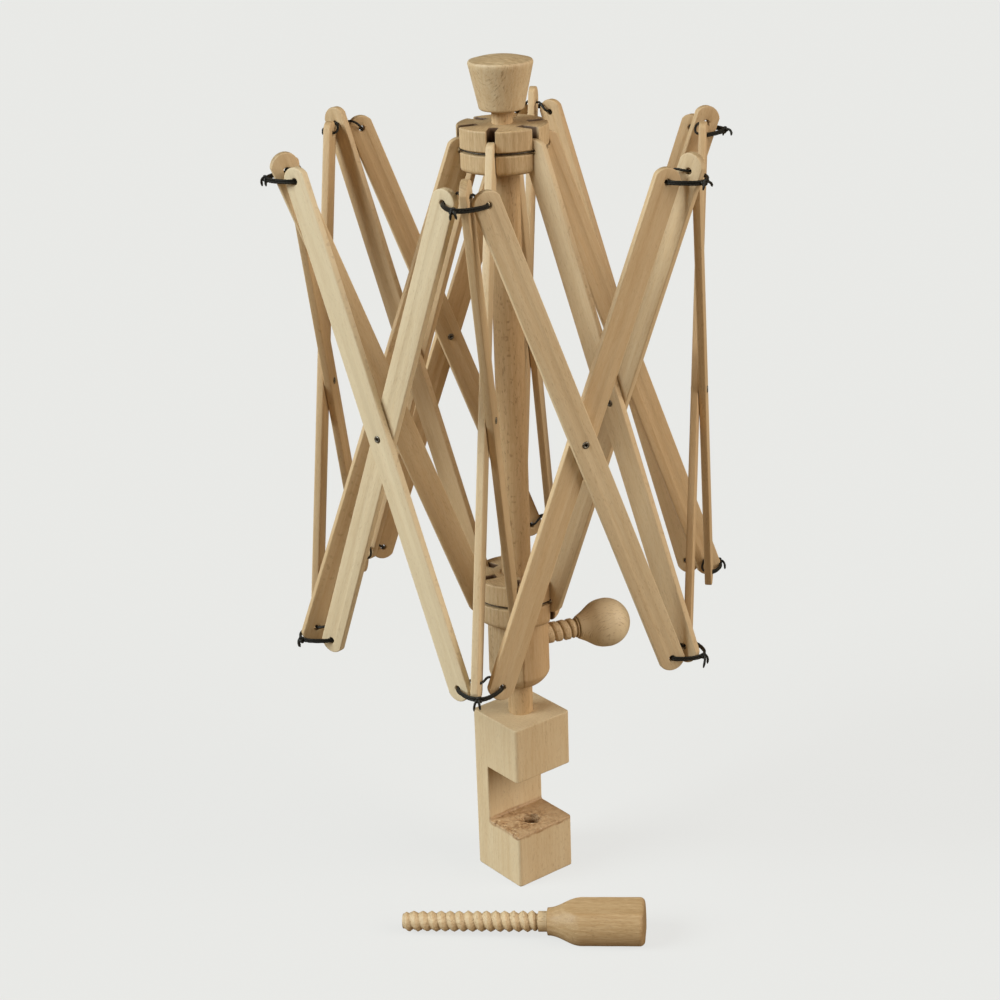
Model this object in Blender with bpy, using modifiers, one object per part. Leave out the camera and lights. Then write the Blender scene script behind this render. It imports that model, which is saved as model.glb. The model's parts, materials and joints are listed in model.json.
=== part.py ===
"""An umbrella swift: a wooden yarn winder whose cage of sticks folds open on a clamped spindle.

Frame: metres, +Z up, origin on the clamp block's underside, on the spindle's axis. The mouth of the clamp
faces -Y. Six ribs hang from the upper hub, six stand on the lower hub, and each pair crosses at a rivet. Six
pairs of crossed slats join the rib ends with cord ties. Sliding the lower hub up the spindle opens the cage.
"""

import bmesh
import bpy
from math import asin, cos, pi, radians, sin
from mathutils import Matrix, Vector

# The fold, which places every stick.
RIB_COUNT = 6
FIRST_AZIMUTH = radians(-48.0)
STEP_AZIMUTH = 2 * pi / RIB_COUNT
LINK_LENGTH = 0.3405
FOLD_ANGLE = radians(20.3)
PIVOT_RADIUS = 0.0290
UPPER_PIVOT_Z = 0.5410
LOWER_PIVOT_Z = UPPER_PIVOT_Z - LINK_LENGTH * cos(FOLD_ANGLE)
JOINT_RADIUS = PIVOT_RADIUS + LINK_LENGTH * sin(FOLD_ANGLE)
RIVET_Z = (UPPER_PIVOT_Z + LOWER_PIVOT_Z) / 2
RIVET_RADIUS = (PIVOT_RADIUS + JOINT_RADIUS) / 2

# Sticks: flat strips with round ends, holes at both ends and a rivet hole in the middle.
STICK_WIDTH = 0.0175
STICK_THICKNESS = 0.0050
STICK_GAP = 0.0003
STICK_CENTRE = (STICK_THICKNESS + STICK_GAP) / 2
STICK_HOLE_RADIUS = 0.0020
RIB_HUB_END = 0.0080
RIB_TIE_END = 0.0115
SLAT_END = 0.0090
SLAT_HOLE_FROM_JOINT = PIVOT_RADIUS / 2
SLAT_DROP = 0.0050
CHORD_OFFSET = 0.0015

# Rivets, hub wires and ties.
RIVET_SHANK_RADIUS = 0.0013
RIVET_BORE_RADIUS = 0.0007
RIVET_HEAD_RADIUS = 0.0024
RIVET_HEAD_HEIGHT = 0.0006
WIRE_RADIUS = 0.0007
CORD_RADIUS = 0.0006
CORD_REACH = 0.0035
CORD_BULGE = 0.0122
CORD_FRONT_HALF = 0.0055
CORD_RIB_REACH = 0.0008
ELBOW_RISE = 0.0020
OUTER_ELBOW = Vector((-0.00315, 0.0057))
INNER_ELBOW = Vector((-0.0094, 0.0037))

# Hubs.
HUB_RADIUS = 0.0303
UPPER_HUB_TOP = 0.5560
UPPER_HUB_BOTTOM = 0.5268
LOWER_HUB_TOP = 0.2380
FLANGE_BOTTOM = 0.2042
GROOVE_RADIUS = 0.0278
GROOVE_WIDTH = 0.0024
SLOT_WIDTH = 0.0062
SLOT_INNER_RADIUS = 0.0172
SLEEVE_RADIUS = 0.0218
SLEEVE_BOTTOM = 0.1514
BELLY_HEIGHT = 0.0100
BELLY_FOOT_RADIUS = 0.0125
BELLY_POWER = 1.45

# Spindle and knob.
SPINDLE_RADIUS = 0.0105
JOURNAL_RADIUS = 0.0089
NECK_RADIUS = 0.0070
FIT_GAP = 0.0004
SPINDLE_BOTTOM = 0.0940
SPINDLE_SHOULDER = 0.1560
SPINDLE_TOP = 0.5820
KNOB_TOP = 0.5965
KNOB_BOTTOM = 0.5650
KNOB_TOP_RADIUS = 0.0214
KNOB_BOTTOM_RADIUS = 0.0144
KNOB_DOME = 0.0032

# Clamp block.
BLOCK_SIDE = 0.0500
BLOCK_HEIGHT = 0.1280
BLOCK_EASING = 0.0012
JAW_LOWER_TOP = 0.0415
JAW_UPPER_BOTTOM = 0.0860
WEB_THICKNESS = 0.0155
SCREW_HOLE_Y = -0.0085
SCREW_HOLE_RADIUS = 0.0063

# Wooden screws.
THREAD_PITCH = 0.0065
THREAD_CREST = 0.0075
THREAD_ROOT = 0.0058
TENON_RADIUS = 0.0045
THUMB_Z = 0.1850
THUMB_AZIMUTH = FIRST_AZIMUTH + 2 * STEP_AZIMUTH
THUMB_TIP = 0.0112
THUMB_KNOB_START = 0.0450
THUMB_KNOB_END = 0.0855
THUMB_KNOB_RADIUS = 0.0177
THUMB_TENON = 0.0140
CLAMP_THREAD_LENGTH = 0.1028
CLAMP_HEAD_LENGTH = 0.0687
CLAMP_TENON = 0.0200
CLAMP_HEAD_RADIUS = 0.0172
CLAMP_HEAD_HALF_THICKNESS = 0.0130
CLAMP_SCREW_START = Vector((-0.1228, -0.0140))
CLAMP_SCREW_AZIMUTH = radians(44.9)

# How finely round shapes are faceted.
FINE = 40
MEDIUM = 24
COARSE = 12
SMALL = 8
LOOP_STEPS = 3


def radial(azimuth):
    """The horizontal direction at an azimuth: 0 looks out along -Y, and it grows towards +X."""
    return Vector((sin(azimuth), -cos(azimuth), 0))


def tangential(azimuth):
    return Vector((cos(azimuth), sin(azimuth), 0))


def new_collection(name):
    collection = bpy.data.collections.new(name)
    bpy.context.scene.collection.children.link(collection)
    return collection


def material(name, colour, roughness, metallic=0.0):
    made = bpy.data.materials.new(name)
    made.use_nodes = True
    shader = made.node_tree.nodes["Principled BSDF"]
    shader.inputs["Base Color"].default_value = (*colour, 1)
    shader.inputs["Roughness"].default_value = roughness
    shader.inputs["Metallic"].default_value = metallic
    return made


def add(name, data, finish):
    """A new object in the parts' collection."""
    made = bpy.data.objects.new(name, data)
    if finish.name not in data.materials:
        data.materials.append(finish)
    parts.objects.link(made)
    return made


def hold(piece, parent):
    """Parents a piece and leaves it where it is."""
    bpy.context.view_layer.update()
    piece.parent = parent
    piece.matrix_parent_inverse = parent.matrix_world.inverted()


def frame(origin, x_axis, z_axis):
    """The matrix of a local frame with this X and this Z."""
    y_axis = z_axis.cross(x_axis)
    return Matrix.Translation(origin) @ Matrix((x_axis, y_axis, z_axis)).transposed().to_4x4()


def pivot(name, origin, x_axis, z_axis, parent):
    """An empty on a joint: its Z is the joint's axis."""
    made = bpy.data.objects.new(name, None)
    made.empty_display_size = 0.01
    parts.objects.link(made)
    made.matrix_world = frame(origin, x_axis, z_axis)
    hold(made, parent)
    return made


def arc(centre, radius, start, end, segments):
    """Points on an arc in the plane, both ends included."""
    angles = [start + (end - start) * i / segments for i in range(segments + 1)]
    return [(centre[0] + radius * cos(a), centre[1] + radius * sin(a)) for a in angles]


def circle(centre, radius, segments):
    return arc(centre, radius, 0, 2 * pi, segments)[:-1]


def flat_outline(name, outlines, thickness):
    """A 2D curve: the first outline is the edge, and the others are holes."""
    curve = bpy.data.curves.new(name, "CURVE")
    curve.dimensions = "2D"
    curve.fill_mode = "BOTH"
    curve.extrude = thickness / 2
    for outline in outlines:
        spline = curve.splines.new("POLY")
        spline.points.add(len(outline) - 1)
        for point, (x, y) in zip(spline.points, outline):
            point.co = (x, y, 0, 1)
        spline.use_cyclic_u = True
    return curve


def tube_curve(name, points, radius, closed, resolution):
    curve = bpy.data.curves.new(name, "CURVE")
    curve.dimensions = "3D"
    curve.bevel_depth = radius
    curve.bevel_resolution = resolution
    curve.use_fill_caps = not closed
    spline = curve.splines.new("POLY")
    spline.points.add(len(points) - 1)
    for point, place in zip(spline.points, points):
        point.co = (*place, 1)
    spline.use_cyclic_u = closed
    return curve


def turned_mesh(name, profile, segments, closed=False):
    """A turned solid about Z. The profile is (radius, z) points down the outer side, from the top."""
    mesh = bpy.data.meshes.new(name)
    shape = bmesh.new()
    points = [shape.verts.new((r, 0, z)) for r, z in profile]
    for a, b in zip(points, points[1:]):
        shape.edges.new((a, b))
    if closed:
        shape.edges.new((points[-1], points[0]))
    bmesh.ops.spin(
        shape,
        geom=shape.verts[:] + shape.edges[:],
        axis=(0, 0, 1),
        cent=(0, 0, 0),
        angle=2 * pi,
        steps=segments,
        use_merge=True,
    )
    bmesh.ops.remove_doubles(shape, verts=shape.verts, dist=1e-6)
    bmesh.ops.recalc_face_normals(shape, faces=shape.faces)
    shape.to_mesh(mesh)
    shape.free()
    mesh.shade_smooth()
    mesh.set_sharp_from_angle(angle=radians(35))
    return mesh


def box_mesh(name, low, high):
    mesh = bpy.data.meshes.new(name)
    shape = bmesh.new()
    size = Vector(high) - Vector(low)
    middle = (Vector(high) + Vector(low)) / 2
    bmesh.ops.create_cube(shape, size=1, matrix=Matrix.Translation(middle) @ Matrix.Diagonal((*size, 1)))
    shape.to_mesh(mesh)
    shape.free()
    return mesh


def cutter(name, mesh, placement=Matrix()):
    """A helper that is cut away from a part."""
    made = bpy.data.objects.new(name, mesh)
    cutters.objects.link(made)
    made.matrix_world = placement
    made.hide_render = True
    made.display_type = "WIRE"
    return made


def cut(piece, tool):
    change = piece.modifiers.new(tool.name, "BOOLEAN")
    change.operation = "DIFFERENCE"
    change.solver = "EXACT"
    change.object = tool


def cut_slots(hub, side, low, high):
    """Six radial slots, each moved sideways to the stick that hangs in it."""
    length = HUB_RADIUS + 0.01 - SLOT_INNER_RADIUS
    for k in range(RIB_COUNT):
        azimuth = FIRST_AZIMUTH + k * STEP_AZIMUTH
        mesh = box_mesh(
            f"{hub.name}_slot_{k + 1}",
            (SLOT_INNER_RADIUS, side * STICK_CENTRE - SLOT_WIDTH / 2, low),
            (SLOT_INNER_RADIUS + length, side * STICK_CENTRE + SLOT_WIDTH / 2, high),
        )
        placement = frame(Vector(), radial(azimuth), Vector((0, 0, 1)))
        cut(hub, cutter(mesh.name, mesh, placement))


# Every stick of a kind shares one outline.


def stick_outline(name, start, end):
    """A strip along X from the first hole at 0 to the last at LINK_LENGTH, running past them by start and end."""
    half = STICK_WIDTH / 2
    edge = arc((LINK_LENGTH + end - half, 0), half, -pi / 2, pi / 2, SMALL)
    edge += arc((half - start, 0), half, pi / 2, 3 * pi / 2, SMALL)
    places = (0, LINK_LENGTH / 2, LINK_LENGTH)
    holes = [circle((x, 0), STICK_HOLE_RADIUS, COARSE) for x in places]
    return flat_outline(name, [edge, *holes], STICK_THICKNESS)


def rivet_profile():
    """An eyelet: a hollow shank with a rolled head at each end, over two sticks and the gap between them."""
    grip = STICK_THICKNESS + STICK_CENTRE - STICK_THICKNESS / 2 + FIT_GAP / 2
    top = grip + RIVET_HEAD_HEIGHT
    face = RIVET_HEAD_RADIUS - RIVET_HEAD_HEIGHT
    return [
        (RIVET_BORE_RADIUS, top),
        (face, top),
        (RIVET_HEAD_RADIUS, grip),
        (RIVET_SHANK_RADIUS, grip),
        (RIVET_SHANK_RADIUS, -grip),
        (RIVET_HEAD_RADIUS, -grip),
        (face, -top),
        (RIVET_BORE_RADIUS, -top),
    ]


def groove(radius, z):
    """The four points of a square groove, going down."""
    return [
        (radius, z + GROOVE_WIDTH / 2),
        (GROOVE_RADIUS, z + GROOVE_WIDTH / 2),
        (GROOVE_RADIUS, z - GROOVE_WIDTH / 2),
        (radius, z - GROOVE_WIDTH / 2),
    ]


def thread_profile(start, end):
    """V-shaped ridges at the thread's pitch, from the end at z = end down to z = start."""
    count = int((end - start) / THREAD_PITCH)
    points = []
    for i in range(count):
        top = end - i * THREAD_PITCH
        points += [
            (THREAD_ROOT, top),
            (THREAD_CREST, top - THREAD_PITCH * 0.32),
            (THREAD_CREST, top - THREAD_PITCH * 0.64),
        ]
    return points


def make_block():
    block = add("clamp_block", box_mesh("clamp_block", *block_corners()), beech_block)
    easing = block.modifiers.new("eased edges", "BEVEL")
    easing.width = BLOCK_EASING
    easing.segments = 2
    half = BLOCK_SIDE / 2
    throat = box_mesh(
        "clamp_throat",
        (-half - 0.01, -half - 0.01, JAW_LOWER_TOP),
        (half + 0.01, half - WEB_THICKNESS, JAW_UPPER_BOTTOM),
    )
    cut(block, cutter("clamp_throat", throat))
    socket_radius = JOURNAL_RADIUS + FIT_GAP
    socket = turned_mesh(
        "spindle_socket",
        [(0, 0.2), (socket_radius, 0.2), (socket_radius, SPINDLE_BOTTOM - 0.001), (0, SPINDLE_BOTTOM - 0.001)],
        MEDIUM,
    )
    cut(block, cutter("spindle_socket", socket))
    hole = turned_mesh(
        "screw_hole",
        [(0, 0.06), (SCREW_HOLE_RADIUS, 0.06), (SCREW_HOLE_RADIUS, -0.02), (0, -0.02)],
        MEDIUM,
    )
    cut(block, cutter("screw_hole", hole, Matrix.Translation((0, SCREW_HOLE_Y, 0))))
    return block


def block_corners():
    half = BLOCK_SIDE / 2
    return (-half, -half, 0), (half, half, BLOCK_HEIGHT)


def make_spindle():
    round_off = 0.001
    profile = [
        (0, SPINDLE_TOP),
        (NECK_RADIUS - round_off, SPINDLE_TOP),
        (NECK_RADIUS, SPINDLE_TOP - round_off),
        (NECK_RADIUS, UPPER_HUB_BOTTOM - FIT_GAP),
        (SPINDLE_RADIUS, UPPER_HUB_BOTTOM - FIT_GAP),
        (SPINDLE_RADIUS, SPINDLE_SHOULDER),
        (JOURNAL_RADIUS, SPINDLE_SHOULDER - 0.002),
        (JOURNAL_RADIUS, SPINDLE_BOTTOM + round_off),
        (JOURNAL_RADIUS - round_off, SPINDLE_BOTTOM),
        (0, SPINDLE_BOTTOM),
    ]
    return add("spindle", turned_mesh("spindle", profile, MEDIUM), beech_turned)


def make_top_knob():
    socket = NECK_RADIUS + FIT_GAP
    socket_top = SPINDLE_TOP + 0.0005
    edge = 0.0030
    slope = (KNOB_TOP_RADIUS - KNOB_BOTTOM_RADIUS) / (KNOB_TOP - KNOB_BOTTOM)
    profile = [
        (0, KNOB_TOP + KNOB_DOME),
        (KNOB_TOP_RADIUS * 0.55, KNOB_TOP + KNOB_DOME * 0.72),
        (KNOB_TOP_RADIUS - 0.0012, KNOB_TOP),
        (KNOB_TOP_RADIUS, KNOB_TOP - 0.0014),
        (KNOB_BOTTOM_RADIUS + slope * edge, KNOB_BOTTOM + edge),
        (KNOB_BOTTOM_RADIUS - 0.0008, KNOB_BOTTOM + edge * 0.35),
        (KNOB_BOTTOM_RADIUS - 0.0024, KNOB_BOTTOM),
        (socket, KNOB_BOTTOM),
        (socket, socket_top),
        (0, socket_top),
    ]
    return add("top_knob", turned_mesh("top_knob", profile, MEDIUM), beech_turned)


def make_upper_hub():
    bore = NECK_RADIUS + FIT_GAP
    profile = [
        (bore, UPPER_HUB_TOP),
        (HUB_RADIUS - 0.0006, UPPER_HUB_TOP),
        (HUB_RADIUS, UPPER_HUB_TOP - 0.0006),
        *groove(HUB_RADIUS, UPPER_PIVOT_Z),
        (HUB_RADIUS, UPPER_HUB_BOTTOM + 0.0060),
        (HUB_RADIUS - 0.0008, UPPER_HUB_BOTTOM + 0.0028),
        (HUB_RADIUS - 0.0030, UPPER_HUB_BOTTOM),
        (bore, UPPER_HUB_BOTTOM),
    ]
    hub = add("upper_hub", turned_mesh("upper_hub", profile, FINE, closed=True), beech_turned)
    cut_slots(hub, -1, UPPER_HUB_BOTTOM - 0.01, UPPER_HUB_TOP + 0.01)
    return hub


def make_lower_hub():
    """The slotted flange and the sleeve below it, turned in one piece."""
    bore = SPINDLE_RADIUS + FIT_GAP
    belly_steps = 6
    belly_turns = [pi / 2 * i / belly_steps for i in range(belly_steps)]
    belly = [
        (
            BELLY_FOOT_RADIUS + (SLEEVE_RADIUS - BELLY_FOOT_RADIUS) * cos(turn) ** BELLY_POWER,
            SLEEVE_BOTTOM + BELLY_HEIGHT * (1 - sin(turn) ** BELLY_POWER),
        )
        for turn in belly_turns
    ]
    profile = [
        (bore, LOWER_HUB_TOP),
        (HUB_RADIUS - 0.0006, LOWER_HUB_TOP),
        (HUB_RADIUS, LOWER_HUB_TOP - 0.0006),
        *groove(HUB_RADIUS, LOWER_PIVOT_Z),
        (HUB_RADIUS, FLANGE_BOTTOM + 0.0080),
        (HUB_RADIUS - 0.0022, FLANGE_BOTTOM + 0.0030),
        (HUB_RADIUS - 0.0050, FLANGE_BOTTOM),
        (SLEEVE_RADIUS - 0.0004, FLANGE_BOTTOM),
        (SLEEVE_RADIUS - 0.0002, FLANGE_BOTTOM - 0.0120),
        *belly,
        (BELLY_FOOT_RADIUS, SLEEVE_BOTTOM),
        (bore, SLEEVE_BOTTOM),
    ]
    hub = add("lower_hub", turned_mesh("lower_hub", profile, FINE, closed=True), beech_turned)
    cut_slots(hub, 1, FLANGE_BOTTOM - 0.0007, LOWER_HUB_TOP + 0.01)
    hole = THREAD_CREST + FIT_GAP
    mesh = turned_mesh(
        "thumb_hole", [(0, 0.04), (hole, 0.04), (hole, SPINDLE_RADIUS - 0.004), (0, SPINDLE_RADIUS - 0.004)], MEDIUM
    )
    cut(hub, cutter("thumb_hole", mesh, thumb_frame()))
    return hub


def thumb_frame():
    """Z runs out along the thumb screw's axis from the spindle's centre line."""
    return frame(Vector((0, 0, THUMB_Z)), Vector((0, 0, 1)), radial(THUMB_AZIMUTH))


def make_thumb_screw():
    end = THUMB_KNOB_START + THUMB_TENON
    shank_profile = [
        (0, end),
        (TENON_RADIUS, end),
        (TENON_RADIUS, THUMB_KNOB_START),
        *thread_profile(THUMB_TIP + 0.001, THUMB_KNOB_START),
        (THREAD_ROOT - 0.0012, THUMB_TIP),
        (0, THUMB_TIP),
    ]
    shank = add("thumb_screw_shank", turned_mesh("thumb_screw_shank", shank_profile, COARSE), beech_turned)
    shank.matrix_world = thumb_frame()
    start = THUMB_KNOB_START + FIT_GAP
    socket = TENON_RADIUS + FIT_GAP
    length = THUMB_KNOB_END - THUMB_KNOB_START
    ball_centre = THUMB_KNOB_END - THUMB_KNOB_RADIUS
    ball_steps = 7
    ball = [
        (THUMB_KNOB_RADIUS * sin(a), ball_centre + THUMB_KNOB_RADIUS * cos(a))
        for a in [radians(100) * i / ball_steps for i in range(ball_steps + 1)]
    ]
    profile = [
        *ball,
        (THUMB_KNOB_RADIUS * 0.92, THUMB_KNOB_START + length * 0.42),
        (THUMB_KNOB_RADIUS * 0.72, THUMB_KNOB_START + length * 0.24),
        (THUMB_KNOB_RADIUS * 0.55, THUMB_KNOB_START + length * 0.10),
        (THUMB_KNOB_RADIUS * 0.50, start),
        (socket, start),
        (socket, end + 0.0005),
        (0, end + 0.0005),
    ]
    knob = add("thumb_screw_knob", turned_mesh("thumb_screw_knob", profile, 24), beech_turned)
    knob.matrix_world = thumb_frame()
    return shank, knob


def clamp_screw_frame():
    """Z runs from the thread's tip to the head's end. The screw lies on its flat head and its thread's tip."""
    direction = radial(CLAMP_SCREW_AZIMUTH)
    lean = asin((CLAMP_HEAD_HALF_THICKNESS - THREAD_CREST) / (CLAMP_THREAD_LENGTH + CLAMP_HEAD_LENGTH / 2))
    axis = direction * cos(lean) + Vector((0, 0, 1)) * sin(lean)
    across = direction.cross(Vector((0, 0, 1)))
    return frame(Vector((*CLAMP_SCREW_START, THREAD_CREST + 0.0003)), across, axis)


def make_clamp_screw():
    end = CLAMP_THREAD_LENGTH + CLAMP_TENON
    collar = 0.0070
    profile = [
        (0, end),
        (TENON_RADIUS, end),
        (TENON_RADIUS, CLAMP_THREAD_LENGTH),
        (THREAD_ROOT + 0.0008, CLAMP_THREAD_LENGTH),
        *thread_profile(0.0025, CLAMP_THREAD_LENGTH - collar),
        (THREAD_ROOT - 0.0010, 0),
        (0, 0),
    ]
    shank = add("clamp_screw_shank", turned_mesh("clamp_screw_shank", profile, COARSE), beech_turned)
    shank.matrix_world = clamp_screw_frame()
    start = CLAMP_THREAD_LENGTH + FIT_GAP
    socket = TENON_RADIUS + FIT_GAP
    flare = 0.0245
    flare_steps = 6
    neck_radius = 0.0097
    flared = [
        (
            neck_radius + (CLAMP_HEAD_RADIUS - neck_radius) * (1 - cos(pi * i / flare_steps)) / 2,
            start + flare * i / flare_steps,
        )
        for i in range(flare_steps, -1, -1)
    ]
    top = CLAMP_THREAD_LENGTH + CLAMP_HEAD_LENGTH
    profile = [
        (0, top),
        (CLAMP_HEAD_RADIUS - 0.0035, top),
        (CLAMP_HEAD_RADIUS - 0.0012, top - 0.0010),
        (CLAMP_HEAD_RADIUS, top - 0.0035),
        *flared,
        (socket, start),
        (socket, end + 0.0005),
        (0, end + 0.0005),
    ]
    head = add("clamp_screw_head", turned_mesh("clamp_screw_head", profile, MEDIUM), beech_turned)
    head.matrix_world = clamp_screw_frame()
    for side, name in ((1, "head_flat_upper"), (-1, "head_flat_lower")):
        low = CLAMP_HEAD_HALF_THICKNESS
        slab = box_mesh(name, (-0.05, low, start - 0.01), (0.05, low + 0.05, top + 0.02))
        turn = Matrix.Rotation(0 if side > 0 else pi, 4, "Z")
        cut(head, cutter(name, slab, clamp_screw_frame() @ turn))
    return shank, head


def ring_wire(name, z):
    points = [(PIVOT_RADIUS * x, PIVOT_RADIUS * y, z) for x, y in circle((0, 0), 1, FINE)]
    return add(name, tube_curve(name, points, WIRE_RADIUS, True, 0), steel)


def smooth_loop(points):
    """A closed quadratic B-spline: it touches the middle of each side of the points' polygon."""
    count = len(points)
    made = []
    for i, corner in enumerate(points):
        start = (points[i - 1] + corner) / 2
        end = (corner + points[(i + 1) % count]) / 2
        for step in range(LOOP_STEPS):
            t = step / LOOP_STEPS
            made.append(start * (1 - t) ** 2 + corner * 2 * t * (1 - t) + end * t**2)
    return made


def tie_points(azimuth, z, outer_side):
    """A cord through the rib's hole and both slats' holes, and across in front of the rib.

    outer_side is +1 where the outer slat lies towards the next rib, and -1 where it lies towards the last one.
    """
    joint = radial(azimuth) * JOINT_RADIUS + Vector((0, 0, z))
    drop = Vector((0, 0, -SLAT_DROP))
    rise = Vector((0, 0, ELBOW_RISE))
    holes = {}
    for side in (1, -1):
        normal = radial(azimuth + side * STEP_AZIMUTH / 2)
        along = side * tangential(azimuth + side * STEP_AZIMUTH / 2)
        centre = joint + drop + along * SLAT_HOLE_FROM_JOINT + normal * CHORD_OFFSET
        near = STICK_GAP / 2
        far = STICK_GAP / 2 + STICK_THICKNESS
        low, high = (near, far) if side == outer_side else (-far, -near)
        holes[side] = centre + normal * (low - CORD_REACH), centre + normal * (high + CORD_REACH)
    out, sideways = radial(azimuth), tangential(azimuth)
    elbows = {}
    for side in (1, -1):
        back, across = OUTER_ELBOW if side == outer_side else INNER_ELBOW
        elbows[side] = joint + rise + out * back + sideways * across * side
    rib_side = outer_side * STICK_CENTRE
    half = STICK_THICKNESS / 2 + CORD_RIB_REACH
    front = joint + drop + out * CORD_BULGE
    return smooth_loop(
        [
            holes[1][1],
            front + sideways * CORD_FRONT_HALF,
            front - sideways * CORD_FRONT_HALF,
            holes[-1][1],
            holes[-1][0],
            elbows[-1],
            joint + sideways * (rib_side - half),
            joint + sideways * (rib_side + half),
            elbows[1],
            holes[1][0],
        ]
    )


def chord(k):
    """The outward normal and the sideways direction of the slats between rib k and the next one."""
    azimuth = FIRST_AZIMUTH + (k + 0.5) * STEP_AZIMUTH
    return radial(azimuth), tangential(azimuth)


for leftover in list(bpy.data.objects):
    bpy.data.objects.remove(leftover)

parts = new_collection("umbrella_swift")
cutters = new_collection("cutters")
beech_block = material("beech_block", (0.56, 0.43, 0.27), 0.62)
beech_turned = material("beech_turned", (0.58, 0.44, 0.28), 0.55)
beech_stick = material("beech_stick", (0.60, 0.46, 0.29), 0.58)
steel = material("steel", (0.42, 0.42, 0.40), 0.35, 1.0)
black_cord = material("black_cord", (0.02, 0.02, 0.018), 0.60)

block = make_block()
up = Vector((0, 0, 1))
spin = pivot("spin_pivot", Vector((0, 0, SPINDLE_SHOULDER)), Vector((1, 0, 0)), up, block)
for piece in (make_spindle(), make_top_knob(), make_upper_hub(), ring_wire("upper_ring_wire", UPPER_PIVOT_Z)):
    hold(piece, spin)

rib_shape = stick_outline("rib", RIB_HUB_END, RIB_TIE_END)
slat_shape = stick_outline("slat", SLAT_END, SLAT_END)
rivet_mesh = turned_mesh("rivet", rivet_profile(), SMALL, closed=True)
sine, cosine = sin(FOLD_ANGLE), cos(FOLD_ANGLE)
top_ties, bottom_ties, lower_ribs = [], [], []

for k in range(RIB_COUNT):
    number = k + 1
    azimuth = FIRST_AZIMUTH + k * STEP_AZIMUTH
    out, side = radial(azimuth), tangential(azimuth)

    upper_start = out * PIVOT_RADIUS - side * STICK_CENTRE + up * UPPER_PIVOT_Z
    upper_rib = add(f"upper_rib_{number}", rib_shape, beech_stick)
    upper_rib.matrix_world = frame(upper_start, out * sine - up * cosine, side)
    hold(upper_rib, spin)

    lower_start = out * PIVOT_RADIUS + side * STICK_CENTRE + up * LOWER_PIVOT_Z
    lower_direction = out * sine + up * cosine
    cross = pivot(
        f"rib_rivet_pivot_{number}", out * RIVET_RADIUS + up * RIVET_Z, lower_direction, side, upper_rib
    )
    lower_rib = add(f"lower_rib_{number}", rib_shape, beech_stick)
    lower_rib.matrix_world = frame(lower_start, lower_direction, side)
    hold(lower_rib, cross)
    lower_ribs.append(lower_rib)

    rivet = add(f"rib_rivet_{number}", rivet_mesh, steel)
    rivet.matrix_world = frame(out * RIVET_RADIUS + up * RIVET_Z, out, side)
    hold(rivet, upper_rib)

    for z, name, rib, outer_side, ties in (
        (UPPER_PIVOT_Z, "top_tie", lower_rib, 1, top_ties),
        (LOWER_PIVOT_Z, "bottom_tie", upper_rib, -1, bottom_ties),
    ):
        knuckle = pivot(f"{name}_pivot_{number}", out * JOINT_RADIUS + up * z, out, side, rib)
        points = tie_points(azimuth, z, outer_side)
        tie = add(f"{name}_{number}", tube_curve(name, points, CORD_RADIUS, True, 0), black_cord)
        hold(tie, knuckle)
        ties.append(tie)

for k in range(RIB_COUNT):
    number = k + 1
    following = (k + 1) % RIB_COUNT
    normal, along = chord(k)
    near = radial(FIRST_AZIMUTH + k * STEP_AZIMUTH) * JOINT_RADIUS + along * SLAT_HOLE_FROM_JOINT
    far = near + along * LINK_LENGTH * sine
    slat_top = up * (UPPER_PIVOT_Z - SLAT_DROP)
    for name, start, direction, layer, tie in (
        ("outer_slat", near, along * sine - up * cosine, 1, top_ties[k]),
        ("inner_slat", far, -along * sine - up * cosine, -1, top_ties[following]),
    ):
        slat = add(f"{name}_{number}", slat_shape, beech_stick)
        place = start + slat_top + normal * (CHORD_OFFSET + layer * STICK_CENTRE)
        slat.matrix_world = frame(place, direction, normal)
        hold(slat, tie)
        if layer > 0:
            rivet = add(f"slat_rivet_{number}", rivet_mesh, steel)
            middle = (near + far) / 2 + up * (RIVET_Z - SLAT_DROP) + normal * CHORD_OFFSET
            rivet.matrix_world = frame(middle, along, normal)
            hold(rivet, slat)

hub_pivot = pivot(
    "lower_hub_pivot",
    radial(FIRST_AZIMUTH) * PIVOT_RADIUS + up * LOWER_PIVOT_Z,
    radial(FIRST_AZIMUTH),
    tangential(FIRST_AZIMUTH),
    lower_ribs[0],
)
lower_hub = make_lower_hub()
hold(lower_hub, hub_pivot)
hold(ring_wire("lower_ring_wire", LOWER_PIVOT_Z), lower_hub)
thumb_shank, thumb_knob = make_thumb_screw()
hold(thumb_shank, lower_hub)
hold(thumb_knob, thumb_shank)
make_clamp_screw()
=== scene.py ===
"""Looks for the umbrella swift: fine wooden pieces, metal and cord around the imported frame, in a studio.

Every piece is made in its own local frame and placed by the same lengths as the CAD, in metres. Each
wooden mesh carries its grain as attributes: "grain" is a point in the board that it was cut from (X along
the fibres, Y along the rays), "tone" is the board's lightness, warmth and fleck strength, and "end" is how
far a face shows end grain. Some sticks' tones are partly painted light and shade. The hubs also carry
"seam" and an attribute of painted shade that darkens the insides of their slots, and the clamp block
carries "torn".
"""

import json
import random
from math import asin, atan2, cos, exp, pi, radians, sin, sqrt, tau

import bmesh
import bpy
from mathutils import Matrix, Vector, noise


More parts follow.
